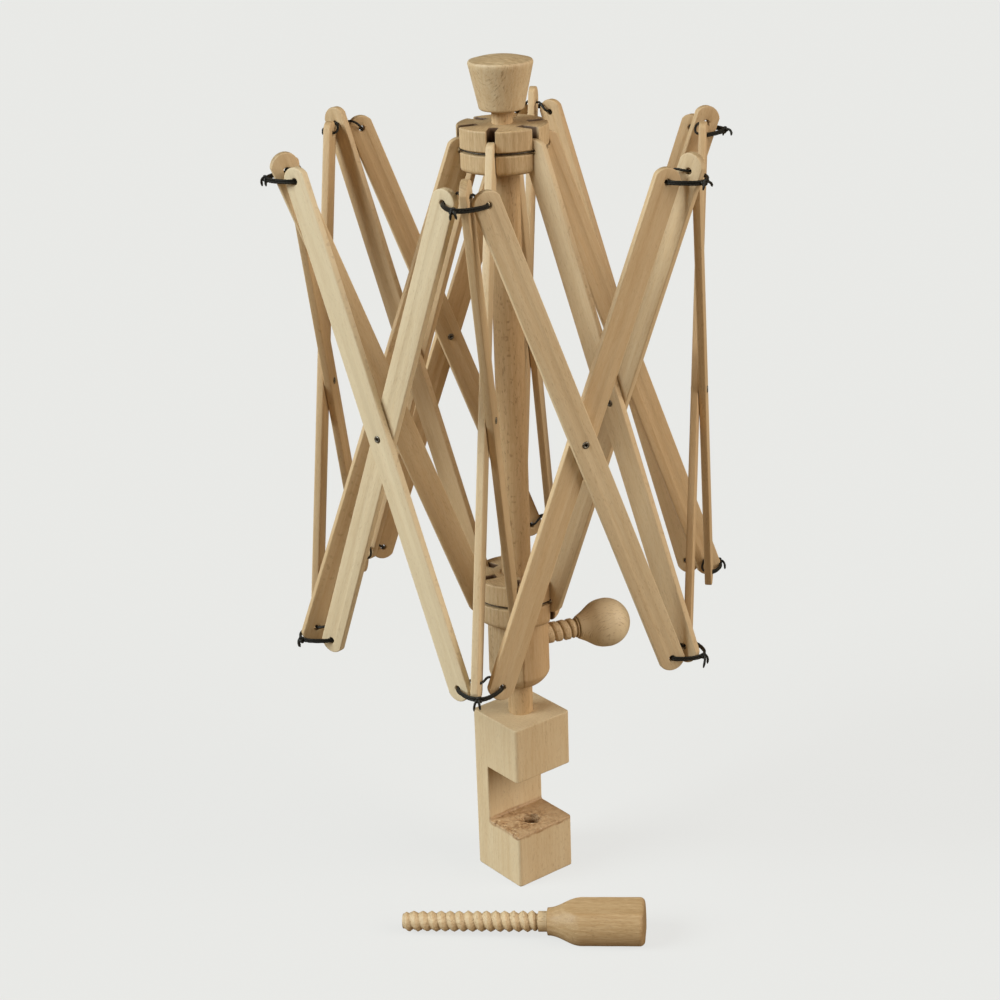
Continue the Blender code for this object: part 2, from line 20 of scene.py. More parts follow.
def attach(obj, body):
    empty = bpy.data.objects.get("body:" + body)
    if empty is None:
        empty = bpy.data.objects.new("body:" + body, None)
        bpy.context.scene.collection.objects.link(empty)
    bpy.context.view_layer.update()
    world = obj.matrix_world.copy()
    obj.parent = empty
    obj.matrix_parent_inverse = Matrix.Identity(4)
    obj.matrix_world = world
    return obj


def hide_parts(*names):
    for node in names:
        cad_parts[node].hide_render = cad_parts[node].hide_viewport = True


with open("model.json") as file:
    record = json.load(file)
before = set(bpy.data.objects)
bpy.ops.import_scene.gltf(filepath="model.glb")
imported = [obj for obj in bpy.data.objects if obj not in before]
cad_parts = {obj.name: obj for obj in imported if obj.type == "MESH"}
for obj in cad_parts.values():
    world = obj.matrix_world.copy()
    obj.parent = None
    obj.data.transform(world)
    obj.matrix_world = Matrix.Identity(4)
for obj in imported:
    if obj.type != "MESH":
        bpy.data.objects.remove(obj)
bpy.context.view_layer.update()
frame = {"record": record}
bodies = frame["record"]["behaviour"]["bodies"]
body_of = {node: body for body, nodes in bodies.items() for node in nodes}

# The fold, as in the CAD.
COUNT = 6
FIRST_AZIMUTH = radians(-48.0)
STEP_AZIMUTH = tau / COUNT
LINK = 0.3405
FOLD = radians(20.3)
PIVOT_RADIUS = 0.0290
UPPER_Z = 0.5410
LOWER_Z = UPPER_Z - LINK * cos(FOLD)
JOINT_RADIUS = PIVOT_RADIUS + LINK * sin(FOLD)
RIVET_Z = (UPPER_Z + LOWER_Z) / 2
RIVET_RADIUS = (PIVOT_RADIUS + JOINT_RADIUS) / 2
STICK_WIDTH = 0.0175
STICK_THICKNESS = 0.0050
STICK_EASING = 0.0008
STICK_CENTRE = 0.00265
HOLE_RADIUS = 0.0020
RIB_ENDS = (0.0080, 0.0115)
SLAT_ENDS = (0.0090, 0.0090)
SLAT_DROP = 0.0050
CHORD_OFFSET = 0.0015
UP = Vector((0, 0, 1))

draw = random.Random(11)


def radial(azimuth):
    return Vector((sin(azimuth), -cos(azimuth), 0))


def tangential(azimuth):
    return Vector((cos(azimuth), sin(azimuth), 0))


def place(origin, x_axis, z_axis):
    y_axis = z_axis.cross(x_axis)
    return Matrix.Translation(origin) @ Matrix((x_axis, y_axis, z_axis)).transposed().to_4x4()


def smoothstep(low, high, value):
    t = min(1, max(0, (value - low) / (high - low)))
    return t * t * (3 - 2 * t)


# Materials.


class Graph:
    """Builds one material's nodes."""

    def __init__(self, name):
        self.material = bpy.data.materials.new(name)
        self.material.use_nodes = True
        self.tree = self.material.node_tree
        self.shader = self.tree.nodes["Principled BSDF"]

    def put(self, socket, value):
        if isinstance(value, bpy.types.NodeSocket):
            self.tree.links.new(value, socket)
        else:
            socket.default_value = value

    def node(self, kind, inputs=(), **settings):
        made = self.tree.nodes.new("ShaderNode" + kind)
        for name, value in settings.items():
            setattr(made, name, value)
        for key, value in dict(inputs).items():
            self.put(made.inputs[key], value)
        return made

    def math(self, operation, *values):
        return self.node("Math", enumerate(values), operation=operation).outputs[0]

    def times(self, first, second):
        return self.math("MULTIPLY", first, second)

    def vary(self, value, pattern, amount):
        """The value, moved up and down by a pattern's swing about its middle."""
        return self.math("ADD", value, self.times(self.math("SUBTRACT", pattern, 0.5), amount))

    def vector(self, operation, *values):
        return self.node("VectorMath", enumerate(values), operation=operation).outputs[0]

    def attribute(self, name, output="Vector"):
        return self.node("Attribute", attribute_name=name).outputs[output]

    def noise(self, spot, stretch, detail=2.0, distortion=0.0):
        inputs = {
            "Vector": self.vector("MULTIPLY", spot, stretch),
            "Scale": 1.0,
            "Detail": detail,
            "Distortion": distortion,
        }
        return self.node("TexNoise", inputs).outputs["Fac"]

    def span(self, value, low, high, to_low=0.0, to_high=1.0):
        inputs = enumerate((value, low, high, to_low, to_high))
        return self.node("MapRange", inputs, interpolation_type="SMOOTHSTEP").outputs[0]

    def mix(self, share, first, second, blend="MIX"):
        made = self.node("Mix", data_type="RGBA", blend_type=blend)
        for key, value in ((0, share), (6, first), (7, second)):
            self.put(made.inputs[key], value)
        return made.outputs[2]

    def ramp(self, value, *stops):
        made = self.node("ValToRGB", {0: value})
        elements = made.color_ramp.elements
        while len(elements) < len(stops):
            elements.new(0.5)
        for element, (position, colour) in zip(elements, stops):
            element.position = position
            element.color = (*colour, 1)
        return made.outputs["Color"]

    def finish(self, colour, roughness, bump_height, distance, strength):
        self.put(self.shader.inputs["Base Color"], colour)
        self.put(self.shader.inputs["Roughness"], roughness)
        inputs = {"Height": bump_height, "Distance": distance, "Strength": strength}
        self.put(self.shader.inputs["Normal"], self.node("Bump", inputs).outputs[0])
        return self.material


PALE = (0.735, 0.615, 0.420)
TAN = (0.610, 0.450, 0.262)
DEEP = (0.430, 0.280, 0.135)
WARM = (0.560, 0.335, 0.150, 1)
FLECK = (0.270, 0.155, 0.070, 1)
END_DARK = (0.60, 0.57, 0.52, 1)
END_LIGHT = (0.84, 0.82, 0.77, 1)
END_RING = (0.60, 0.56, 0.50, 1)
SECOND_BOARD = (0.62, 0.375, 0.175, 1)
GLUE_LINE = (0.30, 0.16, 0.065, 1)
# Painted shade: a near-black laid on the insides of the hubs' slots, where shade falls.
SLOT_SHADE_COLOUR = (0.075, 0.032, 0.012, 1)
TORN_STAIN = (0.40, 0.235, 0.115, 1)
TORN_BROWN = (0.36, 0.205, 0.095, 1)
TORN_PIT = (0.20, 0.105, 0.045, 1)
TORN_CHIP = (0.74, 0.60, 0.40, 1)
RING_SPACING = 0.0031
WOOD_BUMP, WOOD_BUMP_STRENGTH = 0.00018, 0.45


def beech(name, rings, fibres, flecks, pores, end_share=1.0, seam=False, torn=False):
    """Beech: soft growth rings, long fibres, short dark ray flecks, slow tone changes, greyer end grain."""
    g = Graph(name)
    grain = g.attribute("grain")
    tone = g.node("SeparateXYZ", {0: g.attribute("tone")})
    end = g.attribute("end", "Fac")
    sway = g.vector("SUBTRACT", g.node(
        "TexNoise", {"Vector": g.vector("MULTIPLY", grain, (9, 40, 40)), "Scale": 1.0, "Detail": 2.0}
    ).outputs["Color"], (0.5, 0.5, 0.5))
    wavy = g.vector("ADD", grain, g.vector("MULTIPLY", sway, (0, 0.009, 0.009)))
    across = g.node("SeparateXYZ", {0: wavy})
    squares = [g.times(output, output) for output in across.outputs[1:]]
    distance = g.math("SQRT", g.math("ADD", *squares))
    phase = g.math("FRACT", g.math("DIVIDE", distance, RING_SPACING))
    ring = g.times(g.span(phase, 0.10, 0.85), g.span(phase, 0.85, 1.0, 1.0, 0.0))
    ring_cover = g.noise(grain, (14, 260, 260), 1.0)
    ring = g.times(ring, g.span(ring_cover, 0.30, 0.70))
    fibre = g.noise(grain, (26, 620, 620), 3.0)
    fine = g.noise(grain, (160, 3600, 3600), 2.0)
    blotch = g.noise(grain, (6, 60, 60), 2.0)
    fleck_field = g.noise(grain, (300, 150, 2500), 1.0, 0.3)
    fleck_cover = g.noise(grain, (35, 240, 240), 1.0)
    fleck = g.times(g.span(fleck_field, 0.57, 0.70), g.span(fleck_cover, 0.20, 0.65))
    fleck = g.times(fleck, tone.outputs[2])
    value = g.vary(0.66, fibre, fibres)
    value = g.vary(value, fine, pores)
    value = g.vary(value, blotch, 0.45)
    value = g.math("SUBTRACT", value, g.times(ring, rings))
    value = g.math("ADD", value, g.times(tone.outputs[0], 0.5))
    colour = g.ramp(value, (0.0, DEEP), (0.45, TAN), (0.95, PALE))
    colour = g.mix(g.times(tone.outputs[1], 0.5), colour, WARM)
    colour = g.mix(g.times(fleck, flecks), colour, FLECK)
    end_lines = g.noise(grain, (40, 110, 2300), 1.0, 0.2)
    end_shade = g.mix(g.span(end_lines, 0.38, 0.62), END_DARK, END_LIGHT)
    end_shade = g.mix(g.times(ring, 0.5), end_shade, END_RING)
    colour = g.mix(g.times(end, end_share), colour, g.mix(1.0, colour, end_shade, "MULTIPLY"))
    height = g.math("ADD", g.times(fibre, 0.6), g.times(fine, 0.4))
    height = g.math("SUBTRACT", height, g.times(fleck, 0.5))
    roughness = g.span(fibre, 0.3, 0.7, 0.50, 0.64)
    if seam:
        side = g.attribute("seam", "Fac")
        right = g.span(side, -0.0001, 0.0001)
        colour = g.mix(g.times(right, 0.40), colour, SECOND_BOARD)
        wavy_side = g.vary(side, g.noise(grain, (160, 160, 160), 2.0), 0.0016)
        line = g.span(g.math("ABSOLUTE", wavy_side), 0.0002, 0.0011, 1.0, 0.0)
        colour = g.mix(g.times(line, 0.75), colour, GLUE_LINE)
        # Painted shade: the insides of the hubs' slots are darkened almost to black, darkest deep in the
        # slot.
        painted_slot_shade = g.attribute("painted_slot_shade", "Fac")
        colour = g.mix(g.times(painted_slot_shade, 0.94), colour, SLOT_SHADE_COLOUR)
    if torn:
        rough = g.attribute("torn", "Fac")
        chips = g.noise(grain, (420, 420, 420), 4.0)
        patches = g.noise(grain, (150, 150, 150), 2.0, 0.6)
        brown = g.times(rough, g.span(patches, 0.38, 0.58))
        stain = g.span(rough, 0.0, 0.25, 0.0, 0.68)
        colour = g.mix(stain, colour, TORN_STAIN)
        colour = g.mix(g.times(brown, 0.75), colour, TORN_BROWN)
        dark = g.times(rough, g.span(chips, 0.36, 0.52, 0.9, 0.0))
        colour = g.mix(dark, colour, TORN_PIT)
        pale = g.times(rough, g.span(chips, 0.58, 0.70, 0.0, 0.6))
        colour = g.mix(pale, colour, TORN_CHIP)
        height = g.math("ADD", height, g.times(rough, g.times(chips, 3.0)))
    return g.finish(colour, roughness, height, WOOD_BUMP, WOOD_BUMP_STRENGTH)


def metal(name, colour, dark, roughness):
    g = Graph(name)
    spots = g.noise(g.node("TexCoord").outputs["Object"], (900, 900, 900), 3.0)
    g.shader.inputs["Metallic"].default_value = 1.0
    return g.finish(
        g.mix(g.span(spots, 0.35, 0.7), dark, colour),
        g.span(spots, 0.3, 0.7, roughness + 0.15, roughness),
        spots,
        0.00005,
        0.3,
    )


# Painted shade: the darker black goes in the grooves between the cord's plies.
CORD_GROOVE_SHADE = (0.0022, 0.0020, 0.0016, 1)
CORD_BLACK = (0.013, 0.013, 0.010, 1)
WAX = (0.07, 0.076, 0.062, 1)
PLY_TWIST = 1700.0  # radians per metre of cord


def waxed_cord(name):
    """Black waxed cord of two twisted plies, with painted shade in the grooves between them and a few pale
    wax specks.
    """
    g = Graph(name)
    run = g.attribute("run")
    along, round_ = g.node("SeparateXYZ", {0: run}).outputs[:2]
    turn = g.math("ADD", g.times(along, 2 * PLY_TWIST), g.times(round_, 2.0))
    ply = g.math("ABSOLUTE", g.math("SINE", g.times(turn, 0.5)))
    fibre = g.noise(run, (9000, 3, 1), 2.0)
    specks = g.noise(run, (2500, 2, 1), 1.0)
    # Painted shade: darkest where the plies' bump is lowest, in the grooves between them.
    colour = g.mix(ply, CORD_GROOVE_SHADE, CORD_BLACK)
    colour = g.mix(g.span(specks, 0.64, 0.78, 0.0, 0.30), colour, WAX)
    g.shader.inputs["Specular IOR Level"].default_value = 0.4
    height = g.math("ADD", ply, g.times(fibre, 0.3))
    return g.finish(colour, g.span(fibre, 0.3, 0.7, 0.42, 0.62), height, 0.00015, 0.8)


stick_wood = beech("beech_stick_fine", 0.10, 0.34, 0.30, 0.60)
turned_wood = beech("beech_turned_fine", 0.14, 0.60, 0.60, 0.95)
hub_wood = beech("beech_hub_fine", 0.12, 0.70, 0.40, 1.0, end_share=0.7, seam=True)
block_wood = beech("beech_block_fine", 0.12, 0.30, 0.30, 0.60, end_share=0.20, torn=True)
rivet_metal = metal("eyelet_metal", (0.34, 0.32, 0.28, 1), (0.12, 0.11, 0.09, 1), 0.34)
wire_metal = metal("wire_metal", (0.23, 0.20, 0.16, 1), (0.11, 0.095, 0.075, 1), 0.48)
cord_black = waxed_cord("cord_black_fine")


# Pieces.

WELD = 1e-6


def add_grain(mesh, fibre, ray, lightness, warmth, fleck, pith=None):
    """Stores where each point lies in the board, with the fibres along `fibre` and the rays along `ray`.

    `pith` is how far the mesh's origin lies from the middle of the tree.
    """
    fibre = Vector(fibre).normalized()
    ray = Vector(ray)
    ray = (ray - fibre * ray.dot(fibre)).normalized()
    third = fibre.cross(ray)
    start = Vector((draw.uniform(0, 7), pith or draw.uniform(0.05, 0.12), draw.uniform(-0.012, 0.012)))
    grain = mesh.attributes.new("grain", "FLOAT_VECTOR", "POINT")
    tone = mesh.attributes.new("tone", "FLOAT_VECTOR", "POINT")
    end = mesh.attributes.new("end", "FLOAT", "CORNER")
    places = []
    for vertex in mesh.vertices:
        co = vertex.co
        places += (co.dot(fibre) + start.x, co.dot(ray) + start.y, co.dot(third) + start.z)
    grain.data.foreach_set("vector", places)
    tone.data.foreach_set("vector", (lightness, warmth, fleck) * len(mesh.vertices))
    ends = [smoothstep(0.45, 0.95, abs(normal.vector.dot(fibre))) for normal in mesh.corner_normals]
    end.data.foreach_set("value", ends)


def working(name, data):
    made = bpy.data.objects.new(name, data)
    bpy.context.scene.collection.objects.link(made)
    return made


def add_piece(node, mesh, placement, finish):
    """The fine piece that stands for a CAD node and rides on its body."""
    mesh.materials.clear()
    mesh.materials.append(finish)
    made = working(f"{node}_fine", mesh)
    made.matrix_world = placement
    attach(made, body_of[node])
    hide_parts(node)


def applied(obj, name):
    """The mesh of a working object with its modifiers applied. The object goes."""
    bpy.context.view_layer.update()
    graph = bpy.context.evaluated_depsgraph_get()
    mesh = bpy.data.meshes.new_from_object(obj.evaluated_get(graph))
    mesh.name = name
    bpy.data.objects.remove(obj)
    return mesh


def mesh_of(shape, name):
    mesh = bpy.data.meshes.new(name)
    shape.to_mesh(mesh)
    shape.free()
    return mesh


def finished(shape, name, sharp_angle=None):
    """The mesh of a bmesh, shaded smooth but for edges sharper than the angle in degrees."""
    mesh = mesh_of(shape, name)
    mesh.shade_smooth()
    if sharp_angle:
        mesh.set_sharp_from_angle(angle=radians(sharp_angle))
    return mesh


def add_ring(shape, radius, z, around, offset=0.0):
    angles = [tau * (i + offset) / around for i in range(around)]
    return [shape.verts.new((radius * cos(a), radius * sin(a), z)) for a in angles]


def bridge(shape, lower, upper):
    """A band of faces between two rings of as many vertices."""
    count = len(lower)
    for i in range(count):
        n = (i + 1) % count
        shape.faces.new((lower[i], lower[n], upper[n], upper[i]))


def add_turned(node, mesh, placement, finish, fibre, ray, lightness, warmth, fleck, pith):
    add_grain(mesh, fibre, ray, lightness, warmth, fleck, pith)
    add_piece(node, mesh, placement, finish)


def arc(centre, radius, start, end, segments):
    angles = [start + (end - start) * i / segments for i in range(segments + 1)]
    return [(centre[0] + radius * cos(a), centre[1] + radius * sin(a)) for a in angles]


def end_arc(reach, way, luck):
    """A sawn and sanded end: a shallow arc from one edge to the other, a little uneven."""
    steps = 32
    half = STICK_WIDTH / 2
    radius = half * luck.uniform(1.03, 1.10)
    spread = asin(half / radius)
    skew = luck.uniform(-0.0005, 0.0005)
    outline = []
    for i in range(steps + 1):
        a = -spread + 2 * spread * i / steps
        lean = skew * sin(a / spread * pi / 2)
        outline.append((way * (reach - radius + radius * cos(a) + lean), way * radius * sin(a)))
    return outline


def stick_mesh(name, ends, luck):
    """A strip with round ends and eased edges. X runs from the first hole to the last."""
    curve = bpy.data.curves.new(name, "CURVE")
    curve.dimensions = "2D"
    curve.fill_mode = "BOTH"
    curve.extrude = STICK_THICKNESS / 2 - STICK_EASING
    curve.bevel_depth = STICK_EASING
    curve.bevel_resolution = 2
    curve.offset = -STICK_EASING
    start, end = ends
    edge = end_arc(LINK + end, 1, luck) + end_arc(start, -1, luck)
    holes = [arc((x, 0), HOLE_RADIUS, 0, tau, 24)[:-1] for x in (0, LINK / 2, LINK)]
    for outline in (edge, *holes):
        spline = curve.splines.new("POLY")
        spline.points.add(len(outline) - 1)
        for point, (x, y) in zip(spline.points, outline):
            point.co = (x, y, 0, 1)
        spline.use_cyclic_u = True
    mesh = applied(working(name, curve), name)
    shape = bmesh.new()
    shape.from_mesh(mesh)
    bmesh.ops.remove_doubles(shape, verts=shape.verts, dist=WELD)
    bmesh.ops.recalc_face_normals(shape, faces=shape.faces)
    shape.to_mesh(mesh)
    shape.free()
    mesh.shade_smooth()
    mesh.set_sharp_from_angle(angle=radians(32))
    return mesh


def lathe(name, profile, segments=96, closed=False):
    """A turned mesh about Z from (radius, z) points, going down the outer side."""
    shape = bmesh.new()
    points = [shape.verts.new((r, 0, z)) for r, z in profile]
    for a, b in zip(points, points[1:]):
        shape.edges.new((a, b))
    if closed:
        shape.edges.new((points[-1], points[0]))
    bmesh.ops.spin(
        shape,
        geom=shape.verts[:] + shape.edges[:],
        axis=(0, 0, 1),
        cent=(0, 0, 0),
        angle=tau,
        steps=segments,
        use_merge=True,
    )
    bmesh.ops.remove_doubles(shape, verts=shape.verts, dist=WELD)
    bmesh.ops.recalc_face_normals(shape, faces=shape.faces)
    return finished(shape, name, 40)


def flowing(points, steps):
    """A Catmull-Rom line through the points."""

    def blend(p, q, r, s, t):
        square = (2 * p - 5 * q + 4 * r - s) * t**2
        cube = (3 * q - p - 3 * r + s) * t**3
        return 0.5 * (2 * q + (r - p) * t + square + cube)

    made = []
    for i in range(len(points) - 1):
        before = points[max(i - 1, 0)]
        a, b = points[i], points[i + 1]
        after = points[min(i + 2, len(points) - 1)]
        for step in range(steps):
            made.append(tuple(blend(*four, step / steps) for four in zip(before, a, b, after)))
    made.append(tuple(points[-1]))
    return made


def box_mesh(name, low, high):
    shape = bmesh.new()
    size = Vector(high) - Vector(low)
    middle = (Vector(high) + Vector(low)) / 2
    bmesh.ops.create_cube(shape, size=1, matrix=Matrix.Translation(middle) @ Matrix.Diagonal((*size, 1)))
    return mesh_of(shape, name)


def drill_mesh(name, radius, bottom, top, segments=64):
    return lathe(name, [(0, top), (radius, top), (radius, bottom), (0, bottom)], segments)


def carve(obj, mesh, placement=Matrix()):
    """Cuts a mesh out of a working object."""
    tool = working(mesh.name, mesh)
    tool.matrix_world = placement
    change = obj.modifiers.new(mesh.name, "BOOLEAN")
    change.operation = "DIFFERENCE"
    change.solver = "EXACT"
    change.object = tool
    return tool


def softened(obj, tools, name, voxel, rounds):
    """Applies the cuts, remeshes finely and eases every edge, as sanding does."""
    remesh = obj.modifiers.new("remesh", "REMESH")
    remesh.mode = "VOXEL"
    remesh.voxel_size = voxel
    smooth = obj.modifiers.new("ease", "SMOOTH")
    smooth.factor = 0.5
    smooth.iterations = rounds
    mesh = applied(obj, name)
    for tool in tools:
        bpy.data.objects.remove(tool)
    mesh.shade_smooth()
    return mesh


# The sticks.

SINE, COSINE = sin(FOLD), cos(FOLD)

# How light and how warm the boards are that show most. The others are drawn at random, on the dark side.
# These tones are partly the boards' own and partly painted light: the darker, warmer tones of sticks that
# lie behind or inside, such as outer_slat_3, inner_slat_3 and upper_rib_6, are painted shade, and the pale
# tone of outer_slat_6 and inner_slat_6, which face the key lamp, is painted light.
TONES_WITH_PAINTED_LIGHT = {
    "outer_slat_6": (0.60, 0.0),
    "inner_slat_6": (0.46, 0.03),
    "outer_slat_1": (0.10, 0.12),
    "inner_slat_1": (-0.12, 0.42),
    "upper_rib_1": (0.10, 0.12),
    "lower_rib_1": (-0.22, 0.16),
    "upper_rib_2": (0.02, 0.25),
    "lower_rib_2": (0.02, 0.20),
    "upper_rib_6": (-0.24, 0.34),
    "lower_rib_6": (-0.12, 0.32),
    "outer_slat_3": (-0.55, 0.60),
    "inner_slat_3": (-0.50, 0.55),
    "outer_slat_5": (-0.30, 0.45),
}


def add_stick(node, ends, origin, direction, normal):
    mesh = stick_mesh(node, ends, draw)
    # The drawn lightness runs dark: partly the boards' own tone, partly painted shade for the sticks
    # further in.
    drawn = draw.uniform(-0.48, -0.06), draw.uniform(0.20, 0.60)
    lightness, warmth = TONES_WITH_PAINTED_LIGHT.get(node, drawn)
    turn = draw.choice((0.1, 0.35, 0.8, 1.2, 1.45)) + draw.uniform(-0.1, 0.1)
    ray = Vector((draw.uniform(-0.02, 0.02), sin(turn), cos(turn)))
    fibre = Vector((1, draw.uniform(-0.015, 0.015), 0))
    add_grain(mesh, fibre, ray, lightness, warmth, draw.uniform(0.5, 1.0))
    add_piece(node, mesh, place(origin, direction, normal), stick_wood)


def rivet_mesh(name):
    """An eyelet: a short tube whose ends are rolled outwards."""
    grip, height, bore, shank, head = 0.00520, 0.00055, 0.00085, 0.00130, 0.00235
    inner, outer = grip - 0.001, grip - 0.0002
    middle, reach = (head + bore) / 2, (head - bore) / 2
    upper = [
        (middle + reach * cos(a), grip + height * max(0.0, sin(a)) ** 0.9)
        for a in [pi * i / 12 for i in range(13)]
    ]
    lower = [(r, -z) for r, z in reversed(upper)]
    profile = upper + [(bore, inner), (bore, -inner)] + lower + [(shank, -outer), (shank, outer)]
    return lathe(name, profile, 28, closed=True)


rivet_base = rivet_mesh("rivet_base")


def add_rivet(node, origin, x_axis, z_axis):
    add_piece(node, rivet_base.copy(), place(origin, x_axis, z_axis), rivet_metal)


for k in range(COUNT):
    azimuth = FIRST_AZIMUTH + k * STEP_AZIMUTH
    out, side = radial(azimuth), tangential(azimuth)
    foot = out * PIVOT_RADIUS
    upper_foot, lower_foot = foot - side * STICK_CENTRE, foot + side * STICK_CENTRE
    add_stick(f"upper_rib_{k + 1}", RIB_ENDS, upper_foot + UP * UPPER_Z, out * SINE - UP * COSINE, side)
    add_stick(f"lower_rib_{k + 1}", RIB_ENDS, lower_foot + UP * LOWER_Z, out * SINE + UP * COSINE, side)
    add_rivet(f"rib_rivet_{k + 1}", out * RIVET_RADIUS + UP * RIVET_Z, out, side)

for k in range(COUNT):
    azimuth = FIRST_AZIMUTH + (k + 0.5) * STEP_AZIMUTH
    normal, along = radial(azimuth), tangential(azimuth)
    near = radial(azimuth - STEP_AZIMUTH / 2) * JOINT_RADIUS + along * PIVOT_RADIUS / 2
    far = near + along * LINK * SINE
    top = UP * (UPPER_Z - SLAT_DROP)
    for name, start, direction, layer in (
        ("outer_slat", near, along * SINE - UP * COSINE, 1),
        ("inner_slat", far, -along * SINE - UP * COSINE, -1),
    ):
        origin = start + top + normal * (CHORD_OFFSET + layer * STICK_CENTRE)
        add_stick(f"{name}_{k + 1}", SLAT_ENDS, origin, direction, normal)
    middle = (near + far) / 2 + UP * (RIVET_Z - SLAT_DROP) + normal * CHORD_OFFSET
    add_rivet(f"slat_rivet_{k + 1}", middle, along, normal)

# The hubs.

HUB_RADIUS = 0.0303
UPPER_HUB = (0.5268, 0.5560)
LOWER_HUB_TOP = 0.2380
FLANGE_BOTTOM = 0.2042
GROOVE_RADIUS = 0.0272
GROOVE_WIDTH = 0.0024
SLOT_WIDTH = 0.0057
SLOT_INNER = 0.0172
SLEEVE_RADIUS = 0.0218
SLEEVE_BOTTOM = 0.1514
SPINDLE_RADIUS = 0.0105
JOURNAL_RADIUS = 0.0089
NECK_RADIUS = 0.0070
FIT_GAP = 0.0004
TIGHT = 0.0003
THUMB_Z = 0.1850
THUMB_AZIMUTH = FIRST_AZIMUTH + 2 * STEP_AZIMUTH
THREAD_PITCH = 0.0065
THREAD_CREST = 0.0075
THREAD_ROOT = 0.0058
HUB_EASING = 0.0006
HUB_SEGMENTS = 120
BEYOND = 0.01  # how far a cutter reaches past what it cuts
# How far past a slot's wall the painted slot shade reaches.
SLOT_SHADE_MARGIN = 0.0006
NO_SEAM = 1.0  # so far off that the glue line misses the piece
UPPER_HUB_CORNER = 0.0034
UPPER_HUB_VOXEL = 0.0005
FLANGE_CORNER = 0.0050
LOWER_HUB_VOXEL = 0.00062
SEAM_AZIMUTH = radians(-38)
THUMB_HOLE = (0.0065, 0.04)


def groove(z):
    """A flat-bottomed groove for the wire, with flared sides, going down."""
    half = GROOVE_WIDTH / 2
    return [
        (HUB_RADIUS, z + half),
        (GROOVE_RADIUS, z + half * 0.8),
        (GROOVE_RADIUS, z - half * 0.8),
        (HUB_RADIUS, z - half),
    ]


def slot_tools(hub, side, low, high):
    tools = []
    for k in range(COUNT):
        box = box_mesh(
            f"{hub.name}_slot_{k}",
            (SLOT_INNER, side * STICK_CENTRE - SLOT_WIDTH / 2, low),
            (HUB_RADIUS + BEYOND, side * STICK_CENTRE + SLOT_WIDTH / 2, high),
        )
        placement = place(Vector(), radial(FIRST_AZIMUTH + k * STEP_AZIMUTH), UP)
        tools.append(carve(hub, box, placement))
    return tools


def add_seam(mesh, direction, offset):
    """How far each point lies past a glue line between two boards."""
    seam = mesh.attributes.new("seam", "FLOAT", "POINT")
    seam.data.foreach_set("value", [vertex.co.dot(direction) - offset for vertex in mesh.vertices])


def add_painted_slot_shade(mesh, side, low):
    """How far each point above `low` lies inside a slot, away from the rim, for the painted shade that
    darkens the slot's walls and floor.
    """
    wall = SLOT_WIDTH / 2
    depths = []
    for vertex in mesh.vertices:
        depth = 0.0
        reach = sqrt(vertex.co.x ** 2 + vertex.co.y ** 2)
        for k in range(COUNT):
            azimuth = FIRST_AZIMUTH + k * STEP_AZIMUTH
            if vertex.co.z < low or vertex.co.dot(radial(azimuth)) < SLOT_INNER - 0.0008:
                continue
            off = abs(vertex.co.dot(tangential(azimuth)) - side * STICK_CENTRE)
            depth = max(depth, smoothstep(wall + SLOT_SHADE_MARGIN, wall + 0.0001, off))
        depths.append(depth * smoothstep(HUB_RADIUS + 0.0005, HUB_RADIUS - 0.0030, reach))
    mesh.attributes.new("painted_slot_shade", "FLOAT", "POINT").data.foreach_set("value", depths)


def upper_hub():
    low, high = UPPER_HUB
    bore = NECK_RADIUS - TIGHT
    profile = [
        (bore, high),
        (HUB_RADIUS - HUB_EASING, high),
        (HUB_RADIUS, high - HUB_EASING),
        *groove(UPPER_Z),
        (HUB_RADIUS, low + 0.0060),
        *arc((HUB_RADIUS - UPPER_HUB_CORNER, low + UPPER_HUB_CORNER), UPPER_HUB_CORNER, 0, -pi / 2, 6),
        (bore, low),
    ]
    hub = working("upper_hub_work", lathe("upper_hub_work", profile, HUB_SEGMENTS, closed=True))
    tools = slot_tools(hub, -1, low - BEYOND, high + BEYOND)
    mesh = softened(hub, tools, "upper_hub_fine", UPPER_HUB_VOXEL, 3)
    add_seam(mesh, Vector((1, 0, 0)), NO_SEAM)
    # Painted shade on the insides of the slots.
    add_painted_slot_shade(mesh, -1, low)
    add_turned("upper_hub", mesh, Matrix(), hub_wood, UP, (0.8, 0.6, 0), -0.56, 0.08, 0.8, 0.05)


